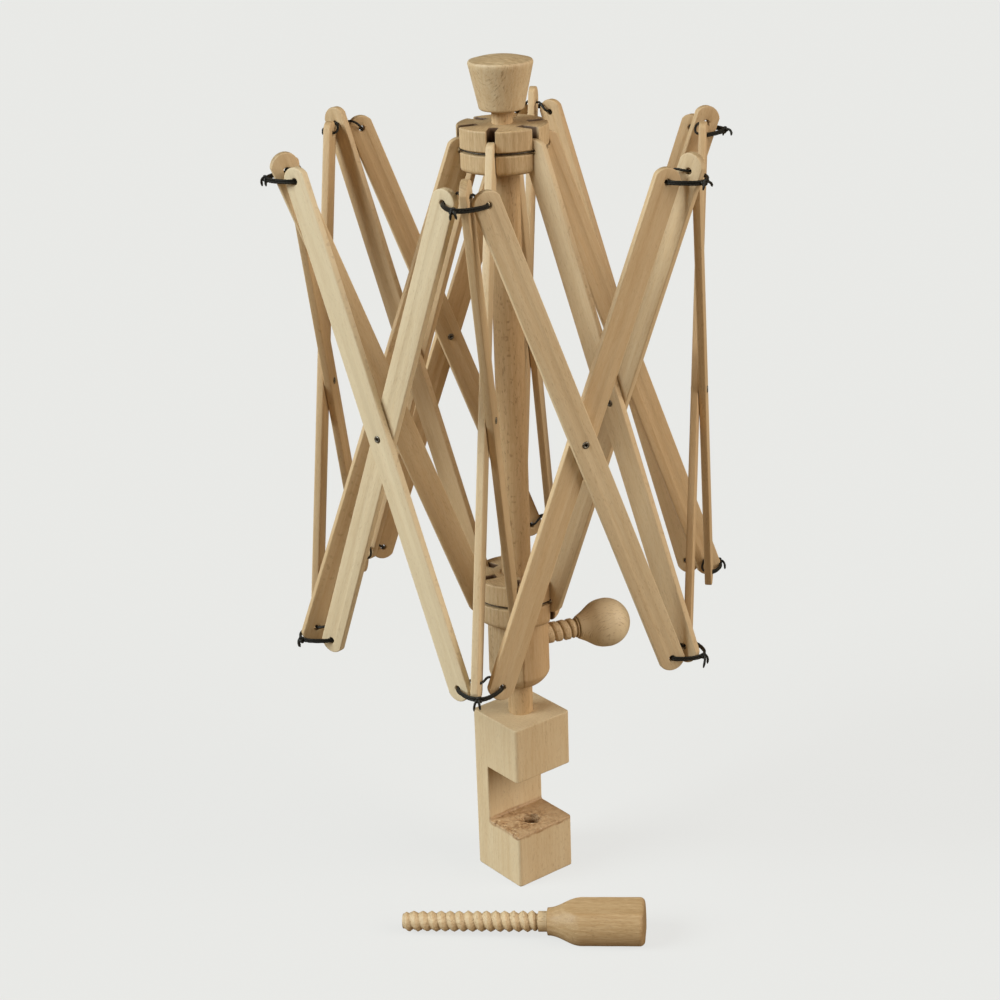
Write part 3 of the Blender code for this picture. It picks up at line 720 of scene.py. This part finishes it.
def lower_hub():
    bore = SPINDLE_RADIUS + FIT_GAP
    foot, height, power = 0.0125, 0.0100, 1.45
    belly = [
        (foot + (SLEEVE_RADIUS - foot) * cos(a) ** power, SLEEVE_BOTTOM + height * (1 - sin(a) ** power))
        for a in [pi / 2 * i / 14 for i in range(14)]
    ]
    corner = FLANGE_CORNER
    profile = [
        (bore, LOWER_HUB_TOP),
        (HUB_RADIUS - HUB_EASING, LOWER_HUB_TOP),
        (HUB_RADIUS, LOWER_HUB_TOP - HUB_EASING),
        *groove(LOWER_Z),
        (HUB_RADIUS, FLANGE_BOTTOM + 0.0080),
        *arc((HUB_RADIUS - corner, FLANGE_BOTTOM + corner), corner, 0, -pi / 2, 6),
        (SLEEVE_RADIUS - 0.0004, FLANGE_BOTTOM),
        (SLEEVE_RADIUS - 0.0002, FLANGE_BOTTOM - 0.0120),
        *belly,
        (foot, SLEEVE_BOTTOM),
        (bore, SLEEVE_BOTTOM),
    ]
    hub = working("lower_hub_work", lathe("lower_hub_work", profile, HUB_SEGMENTS, closed=True))
    tools = slot_tools(hub, 1, FLANGE_BOTTOM - 0.0007, LOWER_HUB_TOP + BEYOND)
    drill = drill_mesh("thumb_drill", THREAD_CREST + FIT_GAP, *THUMB_HOLE, 48)
    tools.append(carve(hub, drill, thumb_frame()))
    mesh = softened(hub, tools, "lower_hub_fine", LOWER_HUB_VOXEL, 3)
    add_seam(mesh, radial(SEAM_AZIMUTH).cross(UP) * -1, 0.0030)
    # Painted shade on the insides of the slots.
    add_painted_slot_shade(mesh, 1, FLANGE_BOTTOM - 0.0002)
    add_turned("lower_hub", mesh, Matrix(), hub_wood, UP, (0.3, 0.95, 0), -0.26, 0.16, 0.8, 0.06)


def thumb_frame():
    return place(Vector((0, 0, THUMB_Z)), UP, radial(THUMB_AZIMUTH))


upper_hub()
lower_hub()

# The spindle and its knob.

SPINDLE = (0.0940, 0.1560, 0.5820)
KNOB = (0.5650, 0.5965)
KNOB_RADII = (0.0144, 0.0214)
KNOB_DOME = 0.0032


def spindle():
    """From the top down: the thin neck, the dowel and the journal that turns in the block."""
    bottom, shoulder, top = SPINDLE
    step = UPPER_HUB[0] - FIT_GAP
    profile = [
        (0, top),
        (NECK_RADIUS - 0.001, top),
        (NECK_RADIUS, top - 0.001),
        (NECK_RADIUS, step),
        (SPINDLE_RADIUS - 0.0004, step),
        (SPINDLE_RADIUS, step - 0.0004),
        *[(SPINDLE_RADIUS, step - 0.0004 - (step - shoulder - 0.001) * i / 30) for i in range(1, 30)],
        (SPINDLE_RADIUS, shoulder + 0.0004),
        *arc((JOURNAL_RADIUS, shoulder), SPINDLE_RADIUS - JOURNAL_RADIUS, 0, -pi / 3, 4),
        (JOURNAL_RADIUS, shoulder - 0.0022),
        *[(JOURNAL_RADIUS, shoulder - 0.0022 - (shoulder - bottom - 0.004) * i / 10) for i in range(1, 10)],
        (JOURNAL_RADIUS, bottom + 0.001),
        (JOURNAL_RADIUS - 0.001, bottom),
        (0, bottom),
    ]
    mesh = lathe("spindle_fine", profile, 64)
    fibre, ray = (0.012, 0.004, 1), (0.75, -0.66, 0)
    add_turned("spindle", mesh, Matrix(), turned_wood, fibre, ray, -0.55, 0.62, 1.0, 0.016)


def top_knob():
    low, high = KNOB
    small, large = KNOB_RADII
    socket = NECK_RADIUS + FIT_GAP
    socket_top = SPINDLE[2] + 0.0005
    slope = (large - small) / (high - low)
    top, foot = high - 0.0016, low + 0.0016
    side = [(large - slope * (top - z), z) for z in [top - (top - foot) * i / 12 for i in range(13)]]
    dome = [((large - 0.0008) * t, high + KNOB_DOME * (1 - t**2.4)) for t in [i / 14 for i in range(14)]]
    corner = [(large - 0.0008, high + 0.00025), (large - 0.0002, high - 0.0005)]
    small_end = side[-1][0]
    heel = [
        (small_end - 0.0003, low + 0.0007),
        (small_end - 0.0010, low + 0.0001),
        (small_end - 0.0020, low - 0.0001),
    ]
    profile = dome + corner + side + heel + [(socket, low - 0.0002), (socket, socket_top), (0, socket_top)]
    mesh = lathe("top_knob_fine", profile, 96)
    fibre, ray = (0.05, 0.02, 1), (0.35, -0.94, 0)
    add_turned("top_knob", mesh, Matrix(), turned_wood, fibre, ray, 0.02, 0.10, 1.0, 0.03)


spindle()
top_knob()

# The ring wires.

WIRE_RADIUS = 0.0005
WIRE_STEPS = 144
TWIST_STEPS = 40
TWIST_REACH = 0.16
TWIST_TURNING = 14
TWIST_SWING = 0.00055


def ring_wire(node, z, twist_azimuth):
    """A wire ring that lies in the groove, with its ends twisted together and lying in the groove too."""
    curve = bpy.data.curves.new(node, "CURVE")
    curve.dimensions = "3D"
    curve.bevel_depth = WIRE_RADIUS
    curve.bevel_resolution = 3
    spline = curve.splines.new("POLY")
    spline.points.add(WIRE_STEPS - 1)
    for i, point in enumerate(spline.points):
        a = tau * i / WIRE_STEPS
        wobble = 0.00008 * sin(5 * a + z * 90) + 0.00006 * sin(11 * a)
        radius = PIVOT_RADIUS - 0.0006 + wobble
        point.co = (radius * cos(a), radius * sin(a), z + wobble, 1)
    spline.use_cyclic_u = True
    for ply in (0, pi):
        spline = curve.splines.new("POLY")
        spline.points.add(TWIST_STEPS)
        for i, point in enumerate(spline.points):
            t = i / TWIST_STEPS
            a = twist_azimuth + TWIST_REACH * t
            turn = ply + t * TWIST_TURNING
            radius = PIVOT_RADIUS - 0.0002 + TWIST_SWING * cos(turn)
            point.co = (radius * sin(a), -radius * cos(a), z + TWIST_SWING * sin(turn), 1)
    curve.use_fill_caps = True
    mesh = applied(working(node, curve), f"{node}_fine")
    mesh.shade_smooth()
    add_piece(node, mesh, Matrix(), wire_metal)


ring_wire("upper_ring_wire", UPPER_Z, radians(150))
ring_wire("lower_ring_wire", LOWER_Z, radians(165))

# The wooden screws.

TENON_RADIUS = 0.0045
TENON_SHOWN = 0.012
SOCKET_RADIUS = TENON_RADIUS + FIT_GAP


def helix(name, length, collar, tip_radius, seed, taper, roundness):
    """A shank along Z with a cut wooden thread, rough from the die, that runs out into a plain collar.

    `taper` thins it towards the tip, and `roundness` is how full its crests are.
    """
    around, step = 48, THREAD_PITCH / 20
    rows = int(length / step)
    shape = bmesh.new()
    grid = []
    for j in range(rows + 1):
        z = length * j / rows
        envelope = smoothstep(0, 0.0035, z) * (1 - smoothstep(length - collar - 0.003, length - collar, z))
        ring = []
        for i in range(around):
            a = tau * i / around
            phase = (z / THREAD_PITCH - a / tau) % 1
            crest = 1 - abs(2 * phase - 1) ** roundness
            top = THREAD_CREST - taper * (1 - z / length)
            radius = THREAD_ROOT - taper + (top - THREAD_ROOT + taper) * crest * envelope
            if z > length - collar:
                radius = THREAD_CREST - 0.0003
            spot = Vector((cos(a) * 3, sin(a) * 3, z * 900 + seed))
            radius += 0.00030 * noise.noise(spot) * envelope
            radius += 0.00024 * noise.noise(spot * 3.1) * crest * envelope
            radius -= (THREAD_ROOT - tip_radius) * (1 - smoothstep(0, 0.0022, z))
            ring.append(shape.verts.new((radius * cos(a), radius * sin(a), z)))
        grid.append(ring)
    for lower, upper in zip(grid, grid[1:]):
        bridge(shape, lower, upper)
    shape.faces.new(reversed(grid[0]))
    neck = add_ring(shape, TENON_RADIUS, length, around)
    peg = add_ring(shape, TENON_RADIUS, length + TENON_SHOWN, around)
    bridge(shape, grid[-1], neck)
    bridge(shape, neck, peg)
    shape.faces.new(peg)
    return finished(shape, name, 55)


THUMB_TIP = 0.0112
THUMB_KNOB = (0.0450, 0.0855)
THUMB_KNOB_RADIUS = 0.0177
THUMB_TENON = 0.0140

# The pear's waist: its radius as a share of the ball's, and how far down as a share of the knob's length.
THUMB_WAIST = ((0.975, 0.125), (0.895, 0.235), (0.770, 0.325), (0.640, 0.410), (0.540, 0.490))


def thumb_screw():
    start, end = THUMB_KNOB
    cut = {"collar": 0.0012, "tip_radius": 0.0044, "seed": 3.0, "taper": 0.0, "roundness": 4.0}
    shank = helix("thumb_screw_shank_fine", start - THUMB_TIP, **cut)
    shank.transform(Matrix.Translation((0, 0, THUMB_TIP)))
    where, ray = thumb_frame(), (1, 0.3, 0)
    add_turned("thumb_screw_shank", shank, where, turned_wood, UP, ray, 0.10, 0.35, 0.8, 0.02)
    length = end - start
    ball_centre = end - THUMB_KNOB_RADIUS
    ball = [
        (THUMB_KNOB_RADIUS * sin(a), ball_centre + THUMB_KNOB_RADIUS * cos(a))
        for a in [radians(90) * i / 30 for i in range(31)]
    ]
    foot = start + FIT_GAP
    waist = flowing([
        ball[-3],
        ball[-1],
        *[(THUMB_KNOB_RADIUS * share, ball_centre - length * down) for share, down in THUMB_WAIST],
        (THUMB_KNOB_RADIUS * 0.485, foot + 0.0006),
        (THUMB_KNOB_RADIUS * 0.460, foot),
    ], 6)
    inside = start + THUMB_TENON + 0.0005
    profile = ball[:-3] + waist + [(SOCKET_RADIUS, foot), (SOCKET_RADIUS, inside), (0, inside)]
    knob = lathe("thumb_screw_knob_fine", profile, 80)
    fibre, ray = (0.10, 0.05, 1), (0.9, 0.3, 0)
    add_turned("thumb_screw_knob", knob, where, turned_wood, fibre, ray, 0.78, 0.20, 0.7, 0.03)


CLAMP_THREAD = 0.1028
CLAMP_HEAD = 0.0687
CLAMP_RADIUS = 0.0172
CLAMP_FLAT = 0.0130
CLAMP_NECK = 0.0097
CLAMP_FLARE = 0.0245
CLAMP_CORNER = 0.0036
CLAMP_SOCKET = 0.02
FLAT_EASING = 0.0008
CLAMP_START = Vector((-0.1228, -0.0140))
CLAMP_AZIMUTH = radians(44.9)


def clamp_frame():
    direction = radial(CLAMP_AZIMUTH)
    lean = asin((CLAMP_FLAT - THREAD_CREST) / (CLAMP_THREAD + CLAMP_HEAD / 2))
    axis = direction * cos(lean) + UP * sin(lean)
    return place(Vector((*CLAMP_START, THREAD_CREST + 0.0003)), direction.cross(UP), axis)


def clamp_head(name):
    """A turned, flared head with two sawn flats. The flats' edges and the end are eased."""
    start = CLAMP_THREAD + FIT_GAP
    flare, corner = CLAMP_FLARE, CLAMP_CORNER
    length = CLAMP_HEAD - FIT_GAP
    around = 96
    stations = [flare * i / 26 for i in range(27)]
    stations += [flare + (length - corner - flare) * i / 22 for i in range(1, 23)]
    stations += [length - corner * (1 - sin(pi / 2 * i / 10)) for i in range(1, 11)]
    shape = bmesh.new()
    rings = []
    for s in stations:
        radius = CLAMP_NECK + (CLAMP_RADIUS - CLAMP_NECK) * (1 - cos(pi * min(1, s / flare))) / 2
        flat = CLAMP_FLAT
        past = s - (length - corner)
        if past > 0:
            inset = corner - sqrt(max(0.0, corner**2 - past**2))
            radius -= inset
            flat -= inset * 0.55
        ring = []
        for i in range(around):
            a = tau * (i + 0.5) / around
            x, y = radius * cos(a), radius * sin(a)
            height = abs(y) - max(0.0, abs(y) - flat + FLAT_EASING) ** 2 / (4 * FLAT_EASING)
            if abs(y) > flat + FLAT_EASING:
                height = flat
            wave = 1 + 0.004 * sin(s * 300 + a * 2)
            ring.append(shape.verts.new((x * wave, (height if y > 0 else -height), start + s)))
        rings.append(ring)
    for lower, upper in zip(rings, rings[1:]):
        bridge(shape, lower, upper)
    shape.faces.new(rings[-1])
    mouth = add_ring(shape, SOCKET_RADIUS, start, around, 0.5)
    inner = add_ring(shape, SOCKET_RADIUS, start + CLAMP_SOCKET, around, 0.5)
    bridge(shape, mouth, rings[0])
    bridge(shape, inner, mouth)
    shape.faces.new(reversed(inner))
    bmesh.ops.recalc_face_normals(shape, faces=shape.faces)
    return finished(shape, name, 45)


def clamp_screw():
    cut = {"collar": 0.0062, "tip_radius": 0.0056, "seed": 20.0, "taper": 0.0004, "roundness": 1.2}
    shank = helix("clamp_screw_shank_fine", CLAMP_THREAD, **cut)
    where, ray = clamp_frame(), (1, 0.3, 0)
    add_turned("clamp_screw_shank", shank, where, turned_wood, UP, ray, -0.22, 0.12, 0.8, 0.02)
    head = clamp_head("clamp_screw_head_fine")
    fibre, ray = (0.03, 0.03, 1), (0.2, -1, 0)
    add_turned("clamp_screw_head", head, where, turned_wood, fibre, ray, -1.0, 0.0, 0.6, 0.07)


thumb_screw()
clamp_screw()

# The clamp block.

BLOCK_SIDE = 0.0500
BLOCK_HEIGHT = 0.1280
JAW_LOWER_TOP = 0.0415
JAW_UPPER_BOTTOM = 0.0860
WEB = 0.0155
SCREW_HOLE = Vector((0, -0.0085))
SCREW_HOLE_RADIUS = 0.0063
UPRIGHT_EASING = 0.0024
LEVEL_EASING_SHARE = 0.12
BLOCK_VOXEL = 0.00062
TEAR_DEPTH = 0.0010
TEAR_SPREAD = 0.0050


def block_mesh():
    """The sawn block with its throat, socket and screw hole, before the screw tore the lower jaw."""
    half = BLOCK_SIDE / 2
    block = working("block_work", box_mesh("block_work", (-half, -half, 0), (half, half, BLOCK_HEIGHT)))
    weights = block.data.attributes.new("bevel_weight_edge", "FLOAT", "EDGE")
    for edge in block.data.edges:
        a, b = (block.data.vertices[i].co for i in edge.vertices)
        weights.data[edge.index].value = 1.0 if abs(a.z - b.z) > 0.01 else LEVEL_EASING_SHARE
    easing = block.modifiers.new("eased", "BEVEL")
    easing.limit_method = "WEIGHT"
    easing.width = UPRIGHT_EASING
    easing.segments = 4
    throat_low = (-half - BEYOND, -half - BEYOND, JAW_LOWER_TOP)
    throat = box_mesh("throat", throat_low, (half + BEYOND, half - WEB, JAW_UPPER_BOTTOM))
    socket = drill_mesh("socket", JOURNAL_RADIUS - TIGHT, SPINDLE[0] - 0.001, 0.2)
    drill = drill_mesh("screw_drill", SCREW_HOLE_RADIUS, -0.02, 0.07)
    tools = [
        carve(block, throat),
        carve(block, socket),
        carve(block, drill, Matrix.Translation((*SCREW_HOLE, 0))),
    ]
    return softened(block, tools, "clamp_block_fine", BLOCK_VOXEL, 2)


def clamp_block():
    """The block, with its lower jaw torn round the screw hole and bruised towards its front edges."""
    half = BLOCK_SIDE / 2
    mesh = block_mesh()
    torn = []
    # Moving a vertex makes Blender work out every normal again, so they are read first.
    normals = [vertex.normal.copy() for vertex in mesh.vertices]
    for vertex, normal in zip(mesh.vertices, normals):
        x, y, z = vertex.co
        from_hole = sqrt((x - SCREW_HOLE.x) ** 2 + (y - SCREW_HOLE.y) ** 2)
        on_jaw = smoothstep(0.0035, 0.0, abs(z - JAW_LOWER_TOP)) if y < half - WEB + 0.0005 else 0
        spot = Vector((x, y, z)) * 420
        patch = smoothstep(-0.15, 0.35, noise.noise(spot * 0.3))
        near_hole = exp(-max(0.0, from_hole - SCREW_HOLE_RADIUS) / TEAR_SPREAD)
        near_edge = smoothstep(0.007, 0.0, x + half) + 0.5 * smoothstep(0.005, 0.0, y + half)
        spread = 0.22 + 0.55 * patch * smoothstep(0.014, -0.012, x)
        amount = on_jaw * min(1.0, 0.8 * near_hole + near_edge * patch + spread)
        inside = from_hole < SCREW_HOLE_RADIUS + 0.0025 and z < JAW_LOWER_TOP - 0.0005
        torn.append(min(1.0, amount + (0.9 if inside else 0.0)))
        rugged = noise.noise(spot) + 0.6 * noise.noise(spot * 2.3)
        if amount > 0.01:
            depth = 0.0002 + TEAR_DEPTH * max(0.0, rugged)
            vertex.co.z -= amount * depth * (1.0 - 0.5 * near_hole)
        if inside or near_hole * on_jaw > 0.35:
            turn = atan2(y - SCREW_HOLE.y, x - SCREW_HOLE.x)
            thread = abs(2 * ((z / THREAD_PITCH - turn / tau) % 1) - 1)
            push = 1 + 0.05 * noise.noise(spot * 0.5) + 0.03 * rugged + (0.08 * thread if inside else 0)
            vertex.co.x = SCREW_HOLE.x + (x - SCREW_HOLE.x) * push
            vertex.co.y = SCREW_HOLE.y + (y - SCREW_HOLE.y) * push
        vertex.co += normal * 0.00006 * noise.noise(Vector((x * 90, y * 90, z * 25)))
    add_grain(mesh, (0.01, -0.02, 1), (0.9, 0.42, 0), 0.06, 0.0, 0.75, 0.045)
    mesh.attributes.new("torn", "FLOAT", "POINT").data.foreach_set("value", torn)
    add_piece("clamp_block", mesh, Matrix(), block_wood)


clamp_block()

# The ties. Local X is out, Y is sideways and Z is up, from the joint of a rib.

CORD_RADIUS = 0.00088
CORD_REACH = 0.0035
CORD_BULGE = 0.0116
CORD_FRONT_HALF = 0.0055
CORD_RIB_REACH = 0.0008
ELBOW_RISE = 0.0020
OUTER_ELBOW = (-0.00315, 0.0057)
INNER_ELBOW = (-0.0094, 0.0037)
STICK_GAP = 0.0003
PASS_LIFT = 0.00070  # half the way between the two passes of cord
KNOT_SIZE = 0.00064
KNOT_STEPS = 44
TAIL_FALL = {1: (0.0025, 0.0055), -1: (0.004, 0.0075)}  # top ties and bottom ties
TAIL_TAPER = 0.55
TAIL_TIP = 4


def sweep(shape, layer, points, radius, closed, taper=0.0):
    """A twisted two-ply cord along the points. `layer` takes its run: the length and the angle."""
    around = 10
    count = len(points)
    rings = []
    length = 0.0
    normal = None
    for i, spot in enumerate(points):
        if closed:
            tangent = (points[(i + 1) % count] - points[i - 1]).normalized()
        else:
            tangent = (points[min(i + 1, count - 1)] - points[max(i - 1, 0)]).normalized()
        if normal is None:
            normal = tangent.orthogonal().normalized()
        else:
            normal = (normal - tangent * normal.dot(tangent)).normalized()
            length += (spot - points[i - 1]).length
        across = tangent.cross(normal)
        size = radius
        if taper and i >= count - TAIL_TIP:
            size *= 1 - taper * (i - count + TAIL_TIP + 1) / TAIL_TIP
        ring = []
        for j in range(around):
            a = tau * j / around
            ply = abs(cos(a + length * PLY_TWIST))
            reach = size * (0.80 + 0.20 * ply)
            vertex = shape.verts.new(spot + (normal * cos(a) + across * sin(a)) * reach)
            vertex[layer] = (length, a, 0)
            ring.append(vertex)
        rings.append(ring)
    for lower, upper in zip(rings, rings[1:]):
        bridge(shape, lower, upper)
    if closed:
        bridge(shape, rings[-1], rings[0])
    else:
        shape.faces.new(reversed(rings[0]))
        shape.faces.new(rings[-1])


def smooth_line(points, steps, closed):
    """A quadratic B-spline on the points' polygon."""
    count = len(points)
    made = []
    order = range(count) if closed else range(1, count - 1)
    if not closed:
        made.append(points[0])
    for i in order:
        corner = points[i]
        start = (points[i - 1] + corner) / 2
        end = (corner + points[(i + 1) % count]) / 2
        for step in range(steps):
            t = step / steps
            made.append(start * (1 - t) ** 2 + corner * 2 * t * (1 - t) + end * t**2)
    if not closed:
        made.append(points[-1])
    return made


def knot_points(centre, size, turn):
    """An overhand knot pulled tight."""
    made = []
    for i in range(KNOT_STEPS):
        t = tau * i / KNOT_STEPS
        x = sin(t) + 2 * sin(2 * t)
        y = cos(t) - 2 * cos(2 * t)
        z = -1.4 * sin(3 * t)
        local = Vector((z, x * cos(turn) - y * sin(turn), x * sin(turn) + y * cos(turn)))
        made.append(centre + local * size)
    return made


def tie_mesh(name, outer_side, luck):
    """A loop through two slats and round a rib, a second pass across the front, a knot and two tails."""
    half_step = STEP_AZIMUTH / 2
    drop = Vector((0, 0, -SLAT_DROP))
    holes, elbows = {}, {}
    for side in (1, -1):
        normal = Vector((cos(half_step), side * sin(half_step), 0))
        along = Vector((-sin(half_step), side * cos(half_step), 0))
        centre = drop + along * PIVOT_RADIUS / 2 + normal * CHORD_OFFSET
        near, far = STICK_GAP / 2, STICK_GAP / 2 + STICK_THICKNESS
        low, high = (near, far) if side == outer_side else (-far, -near)
        holes[side] = centre + normal * (low - CORD_REACH), centre + normal * (high + CORD_REACH * 0.55)
        back, across = OUTER_ELBOW if side == outer_side else INNER_ELBOW
        elbows[side] = Vector((back, across * side, ELBOW_RISE))
    rib_side = outer_side * STICK_CENTRE
    half = STICK_THICKNESS / 2 + CORD_RIB_REACH
    shift = luck.uniform(-0.0035, 0.0010) * outer_side
    front = drop + Vector((CORD_BULGE, 0, 0))
    lift = Vector((0, 0, PASS_LIFT))
    loop = [
        holes[1][1] + lift,
        front + Vector((0.0004, CORD_FRONT_HALF, 0)) + lift,
        front + Vector((0.0004, -CORD_FRONT_HALF, 0)) + lift,
        holes[-1][1] + lift,
        holes[-1][0] + lift * 0.5,
        elbows[-1],
        Vector((0, rib_side - half, 0)),
        Vector((0, rib_side + half, 0)),
        elbows[1],
        holes[1][0] + lift * 0.5,
    ]
    second = [
        (holes[1][0] + holes[1][1]) / 2 - lift,
        holes[1][1] - lift * 0.8,
        front + Vector((0.0005, CORD_FRONT_HALF, 0)) - lift * 1.3,
        front + Vector((0.0005, -CORD_FRONT_HALF, 0)) - lift * 1.3,
        holes[-1][1] - lift * 0.8,
        (holes[-1][0] + holes[-1][1]) / 2 - lift,
    ]
    shape = bmesh.new()
    layer = shape.verts.layers.float_vector.new("run")
    sweep(shape, layer, smooth_line(loop, 14, True), CORD_RADIUS, True)
    sweep(shape, layer, smooth_line(second, 12, False), CORD_RADIUS, False)
    knot = front + Vector((0.0009, shift, -0.0002))
    sweep(shape, layer, knot_points(knot, KNOT_SIZE, luck.uniform(0, 1)), CORD_RADIUS * 0.95, True)
    for way in (1, -1):
        reach = luck.uniform(0.004, 0.007)
        fall = luck.uniform(*TAIL_FALL[outer_side])
        lean = luck.uniform(0.0004, 0.0030)
        spread = way * luck.uniform(0.35, 0.85) + luck.uniform(-0.25, 0.25)
        route = (
            (0, way * 0.0006, 0.0002),
            (lean * 0.7, spread * reach * 0.35, 0.0004),
            (lean, spread * reach * 0.75, -fall * 0.35),
            (lean * 0.8, spread * reach, -fall),
        )
        tail = flowing([tuple(knot + Vector(spot)) for spot in route], 8)
        sweep(shape, layer, [Vector(spot) for spot in tail], CORD_RADIUS, False, TAIL_TAPER)
    return finished(shape, name)


for k in range(COUNT):
    azimuth = FIRST_AZIMUTH + k * STEP_AZIMUTH
    out, side = radial(azimuth), tangential(azimuth)
    for node, z, outer_side in (("top_tie", UPPER_Z, 1), ("bottom_tie", LOWER_Z, -1)):
        name = f"{node}_{k + 1}"
        luck = random.Random(f"{name} luck")
        mesh = tie_mesh(f"{name}_fine", outer_side, luck)
        add_piece(name, mesh, place(out * JOINT_RADIUS + UP * z, out, UP), cord_black)

# The studio.

BACKDROP = (0.811, 0.815, 0.799, 1)
FLOOR_RADIUS = 14
FLOOR_SEEN = (0.84, 0.86, 0.86, 1)
FLOOR_BOUNCE = (0.26, 0.20, 0.14, 1)  # what the floor throws back onto the wood
FLOOR_GLOW_SHARE = 0.88
AMBIENT = (1.0, 0.76, 0.52, 1)
AMBIENT_STRENGTH = 0.17

# Name, azimuth and elevation in degrees, strength, angle in degrees and colour.
LAMPS = (
    ("key", -110, 32, 3.15, 34, (0.92, 1.0, 1.0)),
    ("fill", 32, 28, 2.20, 46, (1.0, 0.920, 0.800)),
)


def add_floor():
    """A pale floor whose seen tone is mostly its own, so that it meets the backdrop without an edge."""
    shape = bmesh.new()
    bmesh.ops.create_circle(shape, cap_ends=True, segments=64, radius=FLOOR_RADIUS)
    floor = working("floor", mesh_of(shape, "floor"))
    floor.location.z = -0.0002
    g = Graph("floor_paint")
    seen = g.node("LightPath").outputs["Is Camera Ray"]
    paint = g.node("BsdfDiffuse", {"Color": g.mix(seen, FLOOR_BOUNCE, FLOOR_SEEN)}).outputs[0]
    glow = g.node("Emission", {"Color": BACKDROP, "Strength": 1.0}).outputs[0]
    share = g.times(seen, FLOOR_GLOW_SHARE)
    surface = g.node("MixShader", {0: share, 1: paint, 2: glow}).outputs[0]
    g.tree.links.new(surface, g.tree.nodes["Material Output"].inputs["Surface"])
    floor.data.materials.append(g.material)


def add_light():
    world = bpy.data.worlds.new("studio")
    bpy.context.scene.world = world
    world.use_nodes = True
    nodes, links = world.node_tree.nodes, world.node_tree.links
    ambient = nodes["Background"]
    ambient.inputs["Color"].default_value = AMBIENT
    ambient.inputs["Strength"].default_value = AMBIENT_STRENGTH
    backdrop = nodes.new("ShaderNodeBackground")
    backdrop.inputs["Color"].default_value = BACKDROP
    choice = nodes.new("ShaderNodeMixShader")
    links.new(nodes.new("ShaderNodeLightPath").outputs["Is Camera Ray"], choice.inputs[0])
    links.new(ambient.outputs[0], choice.inputs[1])
    links.new(backdrop.outputs[0], choice.inputs[2])
    links.new(choice.outputs[0], nodes["World Output"].inputs["Surface"])
    for name, azimuth, elevation, strength, spread, colour in LAMPS:
        lamp = bpy.data.lights.new(name, "SUN")
        lamp.energy = strength
        lamp.angle = radians(spread)
        lamp.color = colour
        holder = working(name, lamp)
        a, e = radians(azimuth), radians(elevation)
        towards = Vector((sin(a) * cos(e), -cos(a) * cos(e), sin(e)))
        holder.rotation_mode = "QUATERNION"
        holder.rotation_quaternion = towards.to_track_quat("Z", "Y")


def add_camera():
    """The photo's viewpoint. The focal length is in the units of the picture's width."""
    azimuth, elevation, roll = radians(-37.69), radians(21.45), radians(1.97)
    distance, focal, width = 1.45795, 2089.32, 1000
    back = Vector((sin(azimuth) * cos(elevation), -cos(azimuth) * cos(elevation), sin(elevation)))
    right = Vector((cos(azimuth), sin(azimuth), 0))
    up = back.cross(right)
    target = Vector((0, 0, 0.29196)) - right * 0.00986
    x_axis = right * cos(roll) - up * sin(roll)
    y_axis = right * sin(roll) + up * cos(roll)
    data = bpy.data.cameras.new("camera")
    data.sensor_width = 36
    data.lens = focal / width * data.sensor_width
    data.clip_end = 60
    holder = working("camera", data)
    turn = Matrix((x_axis, y_axis, back)).transposed().to_4x4()
    holder.matrix_world = Matrix.Translation(target + back * distance) @ turn
    bpy.context.scene.camera = holder


add_floor()
add_light()
add_camera()
bpy.context.scene.view_settings.view_transform = "Standard"
